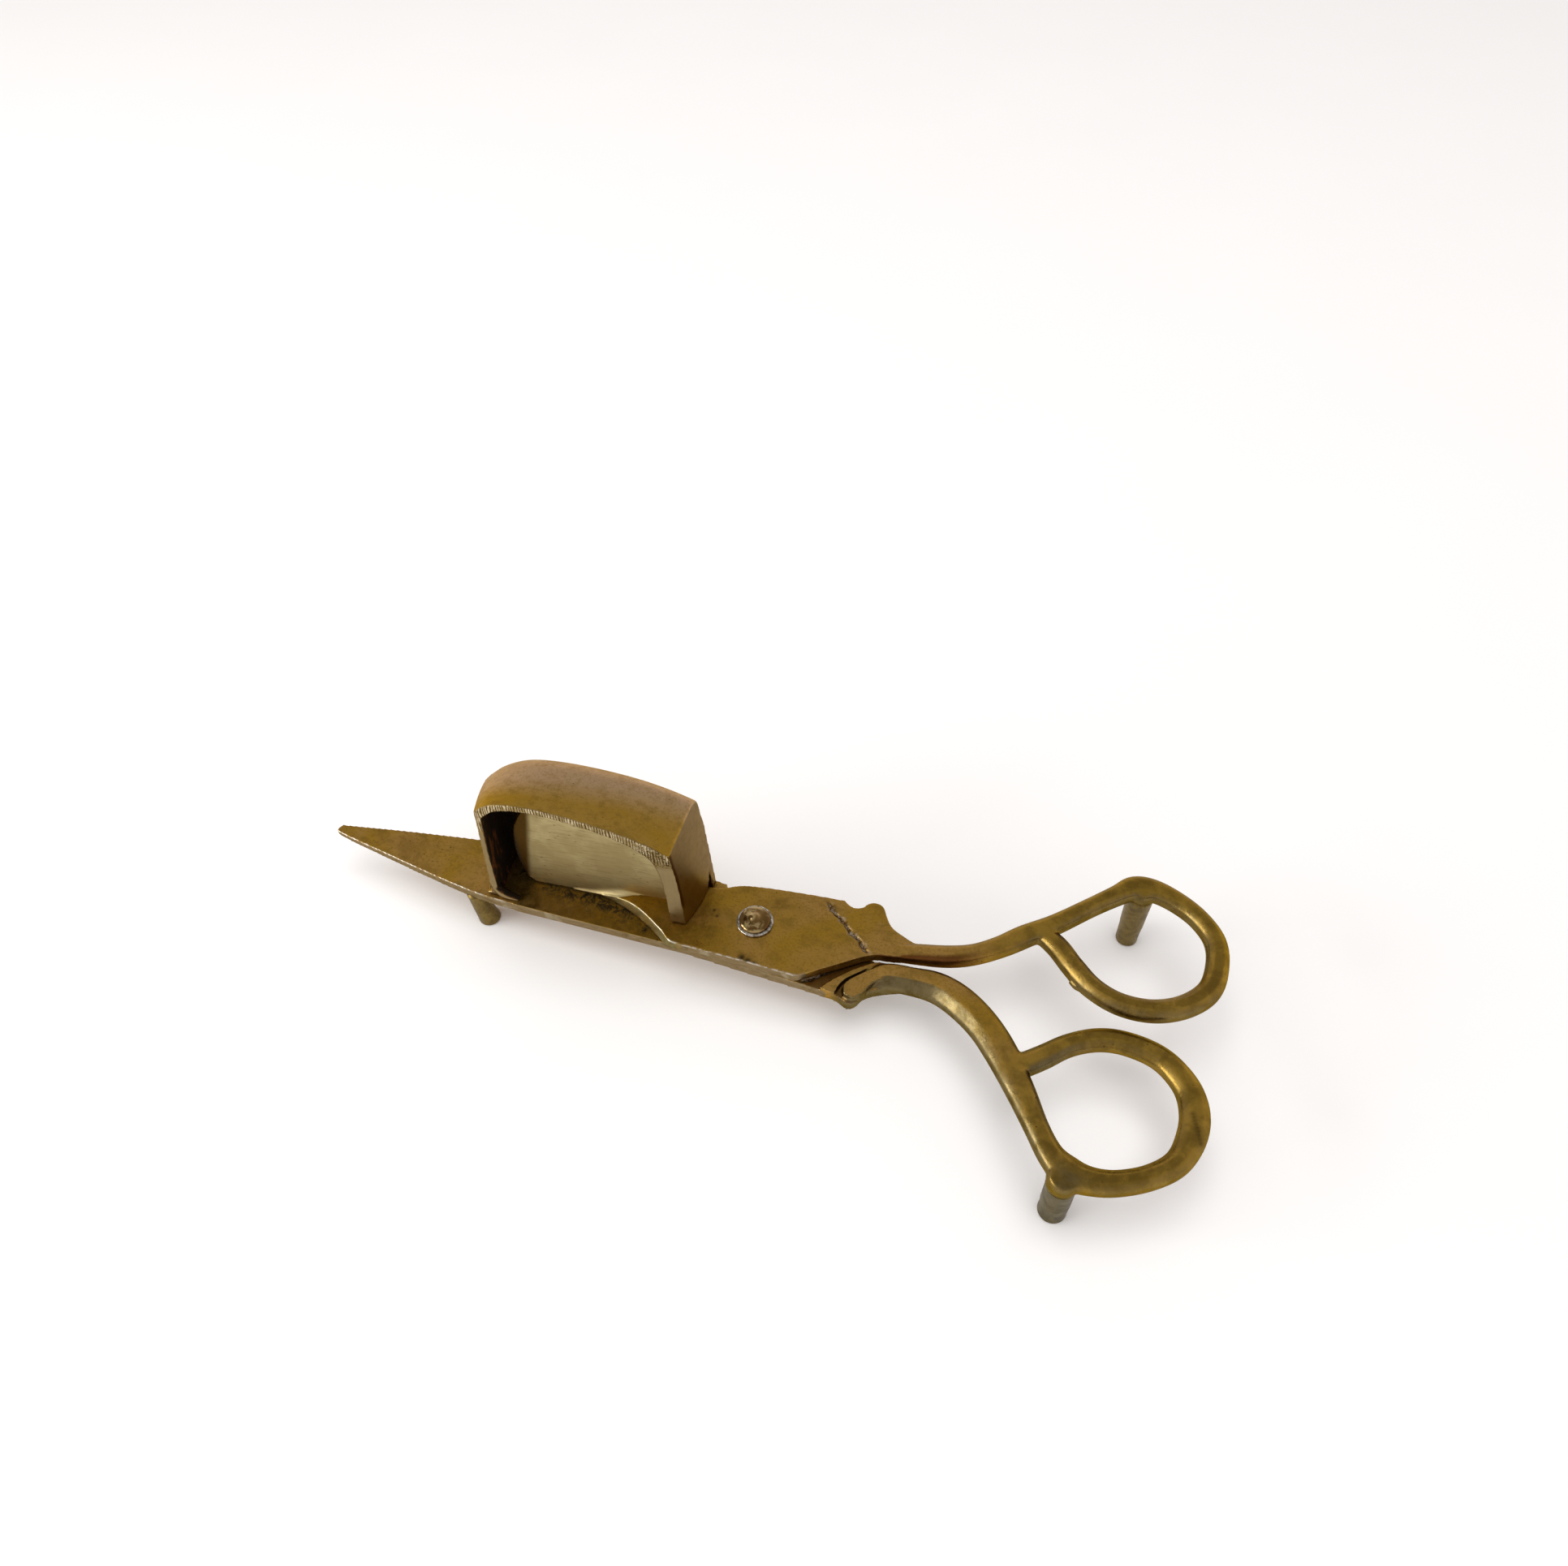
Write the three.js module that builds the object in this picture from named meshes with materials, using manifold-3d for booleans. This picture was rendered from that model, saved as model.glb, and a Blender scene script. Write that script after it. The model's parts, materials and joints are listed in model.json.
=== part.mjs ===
// Brass wick trimmer: a pointed arm that carries the wick box, and a pusher arm riveted over it.
// Millimetres. The rivet axis is the Z axis while building; nose towards -X, finger bows towards +X,
// the mouth of the box faces -Y, the feet stand on Z = 0.
import * as THREE from 'three';
import { mergeVertices } from 'three/addons/utils/BufferGeometryUtils.js';
import Module from 'manifold-3d';

const wasm = await Module();
wasm.setup();

// ---- driving dimensions -------------------------------------------------------------------------
const PLATE_T = 2.2;
const LOWER_Z = 8.0;
const PLATE_GAP = 0.3;
const UPPER_Z = LOWER_Z + PLATE_T + PLATE_GAP;
const LOWER_TOP = LOWER_Z + PLATE_T;
const UPPER_TOP = UPPER_Z + PLATE_T;
const SEAT_GAP = 0.1;

const RIVET_R = 1.5;
const BORE_R = 1.58;
const HEAD_R = 2.9;
const HEAD_H = 1.5;
const COLLAR_R = 3.6;
const COLLAR_T = 0.4;
const TAIL_R = 2.7;
const TAIL_H = 0.9;
const BURR_R = 3.5;
const BURR_T = 0.5;

const NOSE_TIP = [-87.6, -0.5];
const BOX_LEFT = -50.6;
const BOX_RIGHT = -12.0;
const BOX_REAR = 8.4;
const BOX_FLOOR = LOWER_TOP + SEAT_GAP;
const SLOT_Z = UPPER_TOP + 0.3;
const WALL_LEFT = 1.4;
const WALL_RIGHT = 3.0;
const WALL_ROOF = 1.8;
const WALL_REAR = 1.8;
const ROOF_ROUND = 4.2;
const CORNER_ROUND = 6.0;

const PUSHER_T = 1.6;
const PUSHER_ANGLE = 3.9 * Math.PI / 180;
const PUSHER_RIGHT = -17.3;

const NOSE_FOOT = { x: -53.7, y: -5.7, top: LOWER_Z, rTop: 1.55, rLow: 2.15, lean: 1.7 };
const BOX_ARM_FOOT = { x: 61.8, y: -32.6, top: 11.4, rTop: 2.6, rLow: 2.3 };
const PUSHER_ARM_FOOT = { x: 67.1, y: 24.6, top: 14.6, rTop: 2.4, rLow: 1.9 };

// ---- geometry helpers ---------------------------------------------------------------------------
const v2 = (x, y) => new THREE.Vector2(x, y);

function closed(positions, indices) {
  const g = new THREE.BufferGeometry();
  g.setAttribute('position', new THREE.Float32BufferAttribute(positions, 3));
  g.setIndex(indices);
  return g;
}

function toManifold(geometry) {
  let g = geometry.clone();
  g.deleteAttribute('normal');
  g.deleteAttribute('uv');
  g = mergeVertices(g, 1e-4);
  const vertProperties = new Float32Array(g.attributes.position.array);
  const triVerts = new Uint32Array(g.index.array);
  return new wasm.Manifold(new wasm.Mesh({ numProp: 3, vertProperties, triVerts }));
}

function fromManifold(solid) {
  const m = solid.getMesh();
  return closed(Array.from(m.vertProperties), Array.from(m.triVerts));
}

// Smooth open curve through [x, y, ...] rows, sampled evenly enough for a casting.
function smooth(rows, steps) {
  const n = rows.length;
  const out = [];
  for (let i = 0; i < n - 1; i += 1) {
    for (let k = 0; k < steps; k += 1) {
      out.push(catmull(rows[Math.max(i - 1, 0)], rows[i], rows[i + 1], rows[Math.min(i + 2, n - 1)], k / steps));
    }
  }
  out.push(rows[n - 1].slice());
  return out;
}

function catmull(a, b, c, d, t) {
  return b.map((_, k) => 0.5 * (2 * b[k] + (c[k] - a[k]) * t + (2 * a[k] - 5 * b[k] + 4 * c[k] - d[k]) * t * t
    + (3 * b[k] - a[k] - 3 * c[k] + d[k]) * t * t * t));
}

function plate(outline, z0, z1, bevel) {
  const shape = new THREE.Shape(outline.map(([x, y]) => v2(x, y)));
  const g = new THREE.ExtrudeGeometry(shape, {
    depth: z1 - z0 - 2 * bevel,
    steps: 1,
    bevelEnabled: bevel > 0,
    bevelThickness: bevel,
    bevelSize: bevel,
    bevelOffset: -bevel,
    bevelSegments: 1,
  });
  g.translate(0, 0, z0 + bevel);
  return g;
}

// Rod of rounded-rectangle section along rows of [x, y, z, width, height]; both ends capped.
function rod(rows, steps, around) {
  const p = smooth(rows, steps);
  const n = p.length;
  const positions = [];
  const indices = [];
  for (let i = 0; i < n; i += 1) {
    const a = p[Math.max(i - 1, 0)];
    const b = p[Math.min(i + 1, n - 1)];
    const len = Math.hypot(b[0] - a[0], b[1] - a[1]);
    const sx = -(b[1] - a[1]) / len;
    const sy = (b[0] - a[0]) / len;
    for (let k = 0; k < around; k += 1) {
      const t = (k + 0.5) / around * 2 * Math.PI;
      const c = Math.cos(t);
      const s = Math.sin(t);
      const u = Math.sign(c) * Math.abs(c) ** 0.62 * p[i][3] / 2;
      const w = Math.sign(s) * Math.abs(s) ** 0.62 * p[i][4] / 2;
      positions.push(p[i][0] + sx * u, p[i][1] + sy * u, p[i][2] + w);
    }
  }
  for (let i = 0; i < n - 1; i += 1) {
    for (let k = 0; k < around; k += 1) {
      const a = i * around + k;
      const b = i * around + (k + 1) % around;
      indices.push(a, b, a + around, b, b + around, a + around);
    }
  }
  const first = positions.length / 3;
  positions.push(p[0][0], p[0][1], p[0][2], p[n - 1][0], p[n - 1][1], p[n - 1][2]);
  for (let k = 0; k < around; k += 1) {
    indices.push(first, (k + 1) % around, k);
    indices.push(first + 1, (n - 1) * around + k, (n - 1) * around + (k + 1) % around);
  }
  return closed(positions, indices);
}

function turned(profile, segments) {
  const g = new THREE.LatheGeometry(profile.map(([r, z]) => v2(r, z)), segments);
  g.rotateX(Math.PI / 2);
  return g;
}

function cylinder(x, y, r, z0, z1, segments) {
  const g = turned([[0, z0], [r, z0], [r, z1], [0, z1]], segments);
  g.translate(x, y, 0);
  return g;
}

// ---- arm outlines -------------------------------------------------------------------------------
// Box arm seen from above: pointed nose, box floor, pivot tongue and the carved knuckle.
function boxArmOutline() {
  const front = smooth([
    NOSE_TIP, [-86.4, -1.2], [-75.0, -3.4], [-64.0, -5.5], [-54.0, -7.0], [-46.0, -7.4], [-34.0, -7.5],
    [-13.0, -7.5], [0.0, -8.1], [10.5, -8.5], [15.5, -8.8],
  ], 3);
  const knuckle = smooth([
    [15.5, -8.8], [18.0, -9.1], [20.2, -10.1], [21.6, -9.4], [22.6, -7.7], [25.2, -5.9], [30.0, -4.2],
  ], 3);
  const inner = smooth([[30.0, -1.6], [27.0, -0.7], [23.5, -0.8], [18.5, 2.0], [13.5, 5.2], [9.5, 6.6]], 3);
  const rear = smooth([
    [9.5, 6.6], [2.0, 6.4], [-4.0, 6.6], [-8.0, 7.6], [-12.0, 8.5], [-44.0, 8.5], [-49.0, 7.2],
    [-52.0, 5.2], [-60.0, 4.3], [-74.0, 2.3], [-86.6, 0.3],
  ], 3);
  return [...front.slice(0, -1), ...knuckle, ...inner.slice(0, -1), ...rear];
}

// Pusher arm seen from above: hooked blade inside the box, pivot tongue and the carved knuckle.
function pusherArmOutline() {
  const hook = smooth([
    [-30.0, -1.2], [-25.5, -2.4], [-19.8, -4.95], [-17.2, -6.6], [-15.0, -7.9], [-12.5, -8.35],
    [-9.5, -8.4],
  ], 4);
  const front = smooth([[-9.5, -8.4], [0.0, -8.5], [9.8, -8.8]], 2);
  const inner = smooth([[10.8, -8.4], [16.6, -4.5], [22.0, -0.9], [26.0, -0.1], [30.0, 0.7]], 3);
  const knuckle = smooth([
    [30.0, 3.5], [26.6, 4.8], [24.4, 6.0], [23.0, 7.9], [21.9, 9.8], [20.4, 10.4], [19.0, 9.8],
    [18.2, 8.7], [16.8, 8.1], [15.6, 8.4], [14.6, 9.1],
  ], 3);
  const rear = smooth([[14.6, 9.1], [8.0, 8.6], [0.0, 7.8], [-5.0, 6.9], [-8.5, 5.5], [-12.0, 5.1]], 3);
  const back = smooth([[-12.0, 5.1], [-20.0, 3.6], [-30.0, 0.55]], 3);
  return [...hook.slice(0, -1), ...front, ...inner, ...knuckle.slice(0, -1), ...rear.slice(0, -1), ...back];
}

// Thin the pointed nose from below.
function thinNose(geometry) {
  const p = geometry.attributes.position;
  for (let i = 0; i < p.count; i += 1) {
    const t = Math.min(Math.max((-56 - p.getX(i)) / 32, 0), 1);
    if (p.getZ(i) < LOWER_Z + PLATE_T / 2) p.setZ(i, p.getZ(i) + 0.9 * t);
  }
  return geometry;
}

// ---- pieces -------------------------------------------------------------------------------------
// Shank and finger bow: [x, y, z, width, height] down the shank, round the bow, back to the shank.
function boxArmBow() {
  return rod([
    [20.5, -4.9, 9.1, 2.4, 1.6], [25.5, -3.3, 9.5, 3.8, 2.9], [30.5, -2.8, 10.3, 4.5, 3.9],
    [35.0, -3.2, 10.7, 4.6, 4.1], [39.5, -5.2, 11.2, 4.6, 4.1], [44.0, -9.0, 11.8, 4.7, 4.0],
    [48.0, -13.6, 12.4, 4.7, 3.8], [52.2, -19.3, 12.8, 4.1, 3.6], [56.1, -25.1, 13.0, 3.6, 3.4],
    [59.0, -29.3, 13.0, 3.6, 3.4], [61.8, -31.6, 13.0, 4.2, 3.4], [65.2, -31.7, 13.0, 3.8, 3.5],
    [69.5, -30.9, 13.0, 3.4, 3.6], [74.5, -28.5, 13.0, 3.3, 3.6], [78.4, -24.8, 13.0, 3.5, 3.6],
    [80.5, -20.0, 13.0, 4.2, 3.5], [80.4, -15.4, 13.0, 4.2, 3.4], [78.3, -11.0, 13.0, 4.0, 3.3],
    [74.0, -7.4, 13.0, 3.6, 3.3], [68.8, -5.9, 13.0, 3.4, 3.3], [63.8, -6.4, 13.0, 3.3, 3.3],
    [59.0, -8.8, 12.9, 3.2, 3.3], [54.8, -12.4, 12.7, 3.4, 3.4], [50.6, -15.6, 12.6, 3.8, 3.4],
  ], 4, 12);
}

function pusherArmBow() {
  return rod([
    [22.0, 2.7, 11.6, 2.2, 1.5], [26.5, 1.9, 11.8, 3.4, 2.4], [31.5, 1.9, 12.3, 3.1, 3.0],
    [36.0, 2.6, 12.8, 2.9, 3.2], [40.0, 4.0, 13.4, 3.0, 3.3], [44.0, 6.3, 14.1, 3.2, 3.4],
    [47.8, 9.2, 14.9, 3.6, 3.4], [52.8, 12.8, 15.8, 3.1, 3.3], [58.4, 18.0, 16.2, 2.7, 3.2],
    [62.3, 21.7, 16.3, 3.0, 3.2], [65.2, 24.7, 16.3, 3.8, 3.2], [68.6, 25.1, 16.3, 3.6, 3.2],
    [72.8, 23.7, 16.3, 3.2, 3.2], [77.0, 20.8, 16.3, 3.0, 3.2], [80.2, 16.8, 16.3, 3.1, 3.2],
    [81.4, 11.8, 16.3, 3.4, 3.2], [80.1, 6.3, 16.3, 3.6, 3.2], [76.4, 2.1, 16.3, 3.3, 3.2],
    [71.4, -0.2, 16.3, 3.1, 3.2], [66.0, -0.4, 16.2, 3.0, 3.2], [61.2, 1.3, 16.0, 3.0, 3.2],
    [57.2, 4.6, 15.8, 3.2, 3.2], [54.0, 8.2, 15.5, 3.3, 3.2], [50.6, 10.8, 15.3, 3.4, 3.2],
  ], 4, 12);
}

function boxArm() {
  const blade = toManifold(thinNose(plate(boxArmOutline(), LOWER_Z, LOWER_TOP, 0)));
  const bow = toManifold(boxArmBow());
  const f = BOX_ARM_FOOT;
  const boss = toManifold(cylinder(f.x, f.y, f.rTop, f.top, f.top + 1.6, 24));
  const bore = toManifold(cylinder(0, 0, BORE_R, LOWER_Z - 1, LOWER_TOP + 1, 48));
  const groove = toManifold(grooveBar(9.6, -9.8, 18.4, -2.0, LOWER_TOP));
  return fromManifold(blade.add(bow).add(boss).subtract(bore).subtract(groove));
}

// V-shaped bar whose lower edge cuts a groove between two points of a plate's top face.
function grooveBar(x0, y0, x1, y1, top) {
  const len = Math.hypot(x1 - x0, y1 - y0);
  const shape = new THREE.Shape([v2(-1.1, 0.5), v2(0, -0.7), v2(1.1, 0.5)]);
  const g = new THREE.ExtrudeGeometry(shape, { depth: len, steps: 1, bevelEnabled: false });
  g.rotateX(Math.PI / 2);
  g.rotateZ(Math.atan2(y1 - y0, x1 - x0) + Math.PI / 2);
  g.translate(x0, y0, top);
  return g;
}

function pusherArm() {
  const blade = toManifold(plate(pusherArmOutline(), UPPER_Z, UPPER_TOP, 0.2));
  const bow = toManifold(pusherArmBow());
  const f = PUSHER_ARM_FOOT;
  const boss = toManifold(cylinder(f.x, f.y, f.rTop, f.top, f.top + 1.6, 24));
  const bore = toManifold(cylinder(0, 0, BORE_R, UPPER_Z - 1, UPPER_TOP + 1, 48));
  const groove = toManifold(grooveBar(10.4, 9.9, 22.4, -0.6, UPPER_TOP));
  return fromManifold(blade.add(bow).add(boss).subtract(bore).subtract(groove));
}

// Height of the roof, at the mouth and at the back, for a station u from the left end to the right end.
const ROOF_FRONT = [[-48.7, 36.0], [-46.4, 38.1], [-43.4, 39.3], [-39.0, 39.8], [-33.5, 39.5], [-28.0, 38.6],
  [-22.0, 37.1], [-16.8, 35.1], [-13.4, 33.0]];
const ROOF_BACK = [[-49.6, 32.6], [-47.4, 35.2], [-44.2, 37.4], [-40.3, 38.6], [-35.0, 39.3], [-29.0, 39.5],
  [-22.5, 39.1], [-17.0, 38.1], [-12.3, 36.7]];

// One section of the box at depth s (0 mouth, 1 back): up the left wall, over the roof, down the right wall.
function boxSection(s, inset, low) {
  const front = smooth(ROOF_FRONT, 2);
  const back = smooth(ROOF_BACK, 2);
  const yRear = BOX_REAR - (inset ? WALL_REAR : 0);
  const depth = yRear + 5.4;
  const past = (r) => Math.min(Math.max((s * depth - depth + r) / r, 0), 1);
  const fall = (r) => r * (1 - Math.sqrt(1 - past(r) ** 2));
  const roofR = ROOF_ROUND - (inset ? WALL_ROOF : 0);
  const sideR = CORNER_ROUND - (inset ? WALL_LEFT : 0);
  const left = inset ? WALL_LEFT : 0;
  const right = inset ? WALL_RIGHT : 0;
  const drop = (inset ? WALL_ROOF : 0) + 0.97 * fall(roofR);
  const bulge = 1.9 * Math.sin(Math.PI * Math.min(s, 0.7) / 1.4);
  const points = front.map((f, i) => {
    const t = i / (front.length - 1);
    const x = f[0] + (back[i][0] - f[0]) * s;
    const z = f[1] + (back[i][1] - f[1]) * s;
    const push = (left + 0.97 * fall(sideR)) * (1 - t) ** 2 - right * t ** 2 - bulge * (1 - t) ** 2;
    return [x + push, z - drop - (inset ? 2.2 * t ** 10 : 0)];
  });
  const shiftL = left + 0.97 * fall(sideR);
  const wallL = [[BOX_LEFT + shiftL - 0.4 * bulge, low], [BOX_LEFT + 1.0 + shiftL - bulge, 24]];
  const wallR = [[BOX_RIGHT - 0.5 + 0.7 * s - right, 24], [BOX_RIGHT + 0.9 * s - right, low]];
  return [...wallL, ...points, ...wallR];
}

function mouthY(x) {
  return -6.5 + (x + 50.6) * 0.058;
}

function boxSolid(inset, low) {
  const yRear = BOX_REAR - (inset ? WALL_REAR : 0);
  const depths = [0, 0.2, 0.4, 0.58, 0.7, 0.79, 0.86, 0.92, 0.96, 0.985, 1];
  const sections = depths.map((s) => boxSection(s, inset, low));
  const m = sections[0].length;
  const positions = [];
  const indices = [];
  sections.forEach((points, j) => {
    points.forEach(([x, z]) => {
      const y0 = mouthY(x) - (inset && j === 0 ? 4 : 0);
      positions.push(x, y0 + (yRear - y0) * depths[j], z);
    });
  });
  for (let j = 0; j < sections.length - 1; j += 1) {
    for (let i = 0; i < m; i += 1) {
      const a = j * m + i;
      const b = j * m + (i + 1) % m;
      indices.push(a, b, a + m, b, b + m, a + m);
    }
  }
  capSection(indices, sections[0], 0, 1);
  capSection(indices, sections[sections.length - 1], (sections.length - 1) * m, -1);
  return closed(positions, indices);
}

function capSection(indices, points, first, facing) {
  const flat = points.map(([x, z]) => v2(x, z));
  THREE.ShapeUtils.triangulateShape(flat, []).forEach(([a, b, c]) => {
    const turn = THREE.ShapeUtils.area([flat[a], flat[b], flat[c]]) * facing;
    indices.push(first + a, first + (turn > 0 ? b : c), first + (turn > 0 ? c : b));
  });
}

function wickBox() {
  const outer = toManifold(boxSolid(false, BOX_FLOOR));
  const inner = toManifold(boxSolid(true, BOX_FLOOR - 5));
  const back = BOX_REAR - WALL_REAR;
  const slotSide = [[-12, 0], [back, 0], [back, SLOT_Z + 1.5], [4, SLOT_Z], [-12, SLOT_Z]];
  const slot = new THREE.ExtrudeGeometry(
    new THREE.Shape(slotSide.map(([y, z]) => v2(y, z))),
    { depth: WALL_RIGHT + 4, steps: 1, bevelEnabled: false },
  );
  slot.rotateX(Math.PI / 2);
  slot.rotateZ(Math.PI / 2);
  slot.translate(BOX_RIGHT - WALL_RIGHT - 1.5, 0, 0);
  return fromManifold(outer.subtract(inner).subtract(toManifold(slot)));
}

// Upright plate that sweeps the wick into the box, standing on the pusher arm's blade.
function pusherPlate() {
  const side = smooth([
    [-43.6, UPPER_Z], [-45.2, 12.4], [-46.2, 18.5], [-45.4, 26.2], [-43.3, 31.2], [-40.6, 34.6], [-36.5, 36.2],
  ], 3);
  const top = smooth([[-36.5, 36.2], [-30.0, 35.4], [-24.5, 33.6], [-20.0, 31.0], [PUSHER_RIGHT, 28.0]], 3);
  const foot = UPPER_TOP + SEAT_GAP;
  const outline = [...side.slice(0, -1), ...top, [PUSHER_RIGHT, foot], [-30.4, foot], [-30.4, UPPER_Z]];
  const shape = new THREE.Shape(outline.map(([x, z]) => v2(x, z)));
  const g = new THREE.ExtrudeGeometry(shape, { depth: PUSHER_T, steps: 1, bevelEnabled: false });
  g.rotateX(Math.PI / 2);
  g.translate(0, PUSHER_T, 0);
  g.translate(17.3, 0.3, 0);
  g.rotateZ(PUSHER_ANGLE);
  g.translate(-17.3, 0, 0);
  return g;
}

// Tapered peg with a rounded end and a flat sole.
function foot({ top, rTop, rLow }) {
  const edge = 0.7;
  const profile = [[0, 0], [rLow - edge, 0]];
  [30, 60, 90].forEach((deg) => {
    const a = deg * Math.PI / 180;
    profile.push([rLow - edge + edge * Math.sin(a), edge - edge * Math.cos(a)]);
  });
  profile.push([rTop, top - SEAT_GAP], [0, top - SEAT_GAP]);
  return turned(profile, 32);
}

// Nose foot: the head leans towards the nose and the sole stays level.
function noseFoot() {
  const peg = foot(NOSE_FOOT);
  const shear = new THREE.Matrix4().makeShear(0, 0, 0, 0, -NOSE_FOOT.lean / NOSE_FOOT.top, 0);
  return peg.applyMatrix4(shear);
}

function pivotRivet() {
  const seat = UPPER_TOP + SEAT_GAP + COLLAR_T + SEAT_GAP;
  const low = LOWER_Z - SEAT_GAP - BURR_T - SEAT_GAP;
  const profile = [[0, low - TAIL_H], [TAIL_R * 0.55, low - TAIL_H], [TAIL_R * 0.85, low - TAIL_H * 0.65]];
  profile.push([TAIL_R, low], [RIVET_R, low], [RIVET_R, seat], [HEAD_R, seat]);
  for (let k = 1; k <= 6; k += 1) {
    const a = k / 6 * Math.PI / 2;
    profile.push([HEAD_R * Math.cos(a), seat + 0.15 + (HEAD_H - 0.15) * Math.sin(a)]);
  }
  profile[profile.length - 1][0] = 0;
  return turned(profile, 48);
}

function washer(outer, z0, z1, edge) {
  return turned([
    [BORE_R, z0], [outer - edge, z0], [outer, z0 + edge], [outer, z1 - edge], [outer - edge, z1], [BORE_R, z1],
    [BORE_R, z0],
  ], 48);
}

// ---- assembly -----------------------------------------------------------------------------------
function brass(color, roughness) {
  return new THREE.MeshStandardMaterial({ color, roughness, metalness: 1 });
}

function place(parent, name, geometry, material, x = 0, y = 0, z = 0) {
  const mesh = new THREE.Mesh(geometry, material);
  mesh.name = name;
  mesh.position.set(x, y, z);
  parent.add(mesh);
}

function build() {
  const parts = new THREE.Group();
  place(parts, 'box_arm', boxArm(), brass('#8a6a2a', 0.42));
  place(parts, 'wick_box', wickBox(), brass('#8c6f3c', 0.45));
  place(parts, 'nose_foot', noseFoot(), brass('#86703c', 0.45), NOSE_FOOT.x, NOSE_FOOT.y, 0);
  place(parts, 'box_arm_foot', foot(BOX_ARM_FOOT), brass('#86703c', 0.45), BOX_ARM_FOOT.x, BOX_ARM_FOOT.y, 0);
  place(parts, 'pivot_rivet', pivotRivet(), brass('#94702f', 0.35));
  const collarZ = UPPER_TOP + SEAT_GAP;
  place(parts, 'rivet_collar', washer(COLLAR_R, collarZ, collarZ + COLLAR_T, 0.12), brass('#a09a90', 0.4));
  const burrZ = LOWER_Z - SEAT_GAP;
  place(parts, 'rivet_burr', washer(BURR_R, burrZ - BURR_T, burrZ, 0.12), brass('#8a7a50', 0.45));
  place(parts, 'pusher_arm', pusherArm(), brass('#8a6a2a', 0.42));
  place(parts, 'pusher_plate', pusherPlate(), brass('#a8996a', 0.38));
  place(parts, 'pusher_arm_foot', foot(PUSHER_ARM_FOOT), brass('#86703c', 0.45),
    PUSHER_ARM_FOOT.x, PUSHER_ARM_FOOT.y, 0);
  const box = new THREE.Box3().setFromObject(parts);
  parts.position.set(-(box.min.x + box.max.x) / 2, -(box.min.y + box.max.y) / 2, -box.min.z);
  const root = new THREE.Group();
  root.name = 'wick_trimmer';
  root.add(parts);
  return root;
}

export default build();
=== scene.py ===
"""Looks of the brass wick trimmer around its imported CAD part.

Shapes are written in millimetres in a frame with the rivet's axis at X = Y = 0, and moved to the row frame
at the end. The nose points to -X, the finger bows to +X and the mouth of the wick box faces -Y. The feet
stand on Z = 0.
"""
import json
import math

import bmesh
import bpy
import numpy as np
from mathutils import Matrix, Vector


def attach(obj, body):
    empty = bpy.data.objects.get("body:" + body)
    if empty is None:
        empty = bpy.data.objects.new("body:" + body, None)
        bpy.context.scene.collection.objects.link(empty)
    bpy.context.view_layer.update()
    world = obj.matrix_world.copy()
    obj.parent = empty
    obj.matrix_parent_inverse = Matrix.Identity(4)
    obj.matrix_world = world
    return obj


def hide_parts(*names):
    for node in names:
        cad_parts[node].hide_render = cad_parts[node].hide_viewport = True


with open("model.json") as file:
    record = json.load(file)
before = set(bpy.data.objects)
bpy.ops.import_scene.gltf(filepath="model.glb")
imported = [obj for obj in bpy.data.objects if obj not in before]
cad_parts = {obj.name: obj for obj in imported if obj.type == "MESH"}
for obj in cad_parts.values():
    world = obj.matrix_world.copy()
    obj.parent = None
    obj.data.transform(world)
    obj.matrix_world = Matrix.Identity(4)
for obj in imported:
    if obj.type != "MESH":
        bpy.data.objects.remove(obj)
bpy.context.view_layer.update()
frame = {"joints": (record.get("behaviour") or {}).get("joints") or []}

MM = 0.001
PIVOT = Vector(frame["joints"][0]["pos_m"]) * 1000

# ---- driving dimensions, in millimetres -------------------------------------------------------------
VOXEL = 0.20
SMOOTHING_ROUNDS = 2
ROD_SIDES, ROD_SQUARENESS, ROD_CREASE = 36, 0.54, 0.27
LOWER_LOW, LOWER_TOP = 8.0, 10.2
UPPER_LOW, UPPER_TOP = 10.5, 12.7
SEAT = 0.1
BORE_R = 1.58
RIVET_R = 1.5
HEAD_R, HEAD_H = 2.9, 1.5
COLLAR_R, COLLAR_T = 3.45, 0.4
BURR_R, BURR_T = 3.5, 0.5
WASHER_EDGE = 0.12

BOX_LEFT, BOX_RIGHT, BOX_REAR = -50.6, -12.0, 8.4
BOX_FLOOR = LOWER_TOP + SEAT
MOUTH_LEFT_Y, MOUTH_SLOPE = -6.5, 0.058
SLOT_Z = UPPER_TOP + 0.3
WALL_LEFT, WALL_RIGHT, WALL_ROOF, WALL_REAR = 1.4, 3.0, 1.45, 1.8
ROOF_ROUND, CORNER_ROUND = 4.2, 6.0

PLATE_T = 1.6
PLATE_RIGHT = -16.8
PLATE_SLOPE = math.tan(math.radians(3.9))

# Each foot: x, y, height of its top, radius at the top, radius at the floor.
NOSE_FOOT = (-53.7, -5.7, 7.9, 1.55, 2.15)
NOSE_FOOT_FLAT_Y, NOSE_FOOT_LEAN = -7.9, 1.7
BOX_ARM_FOOT = (61.6, -32.5, 11.3, 2.6, 2.45)
PUSHER_ARM_FOOT = (66.8, 24.4, 14.5, 2.5, 2.05)


# ---- mesh helpers -----------------------------------------------------------------------------------
def smooth(rows, steps):
    """Catmull-Rom curve through the rows."""
    out = []
    last = len(rows) - 1
    for i in range(last):
        a, b, c, d = rows[max(i - 1, 0)], rows[i], rows[i + 1], rows[min(i + 2, last)]
        for k in range(steps):
            t = k / steps
            out.append([
                0.5 * (2 * q + (r - p) * t + (2 * p - 5 * q + 4 * r - s) * t * t
                       + (3 * q - p - 3 * r + s) * t ** 3)
                for p, q, r, s in zip(a, b, c, d)
            ])
    out.append(list(rows[-1]))
    return out


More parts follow.
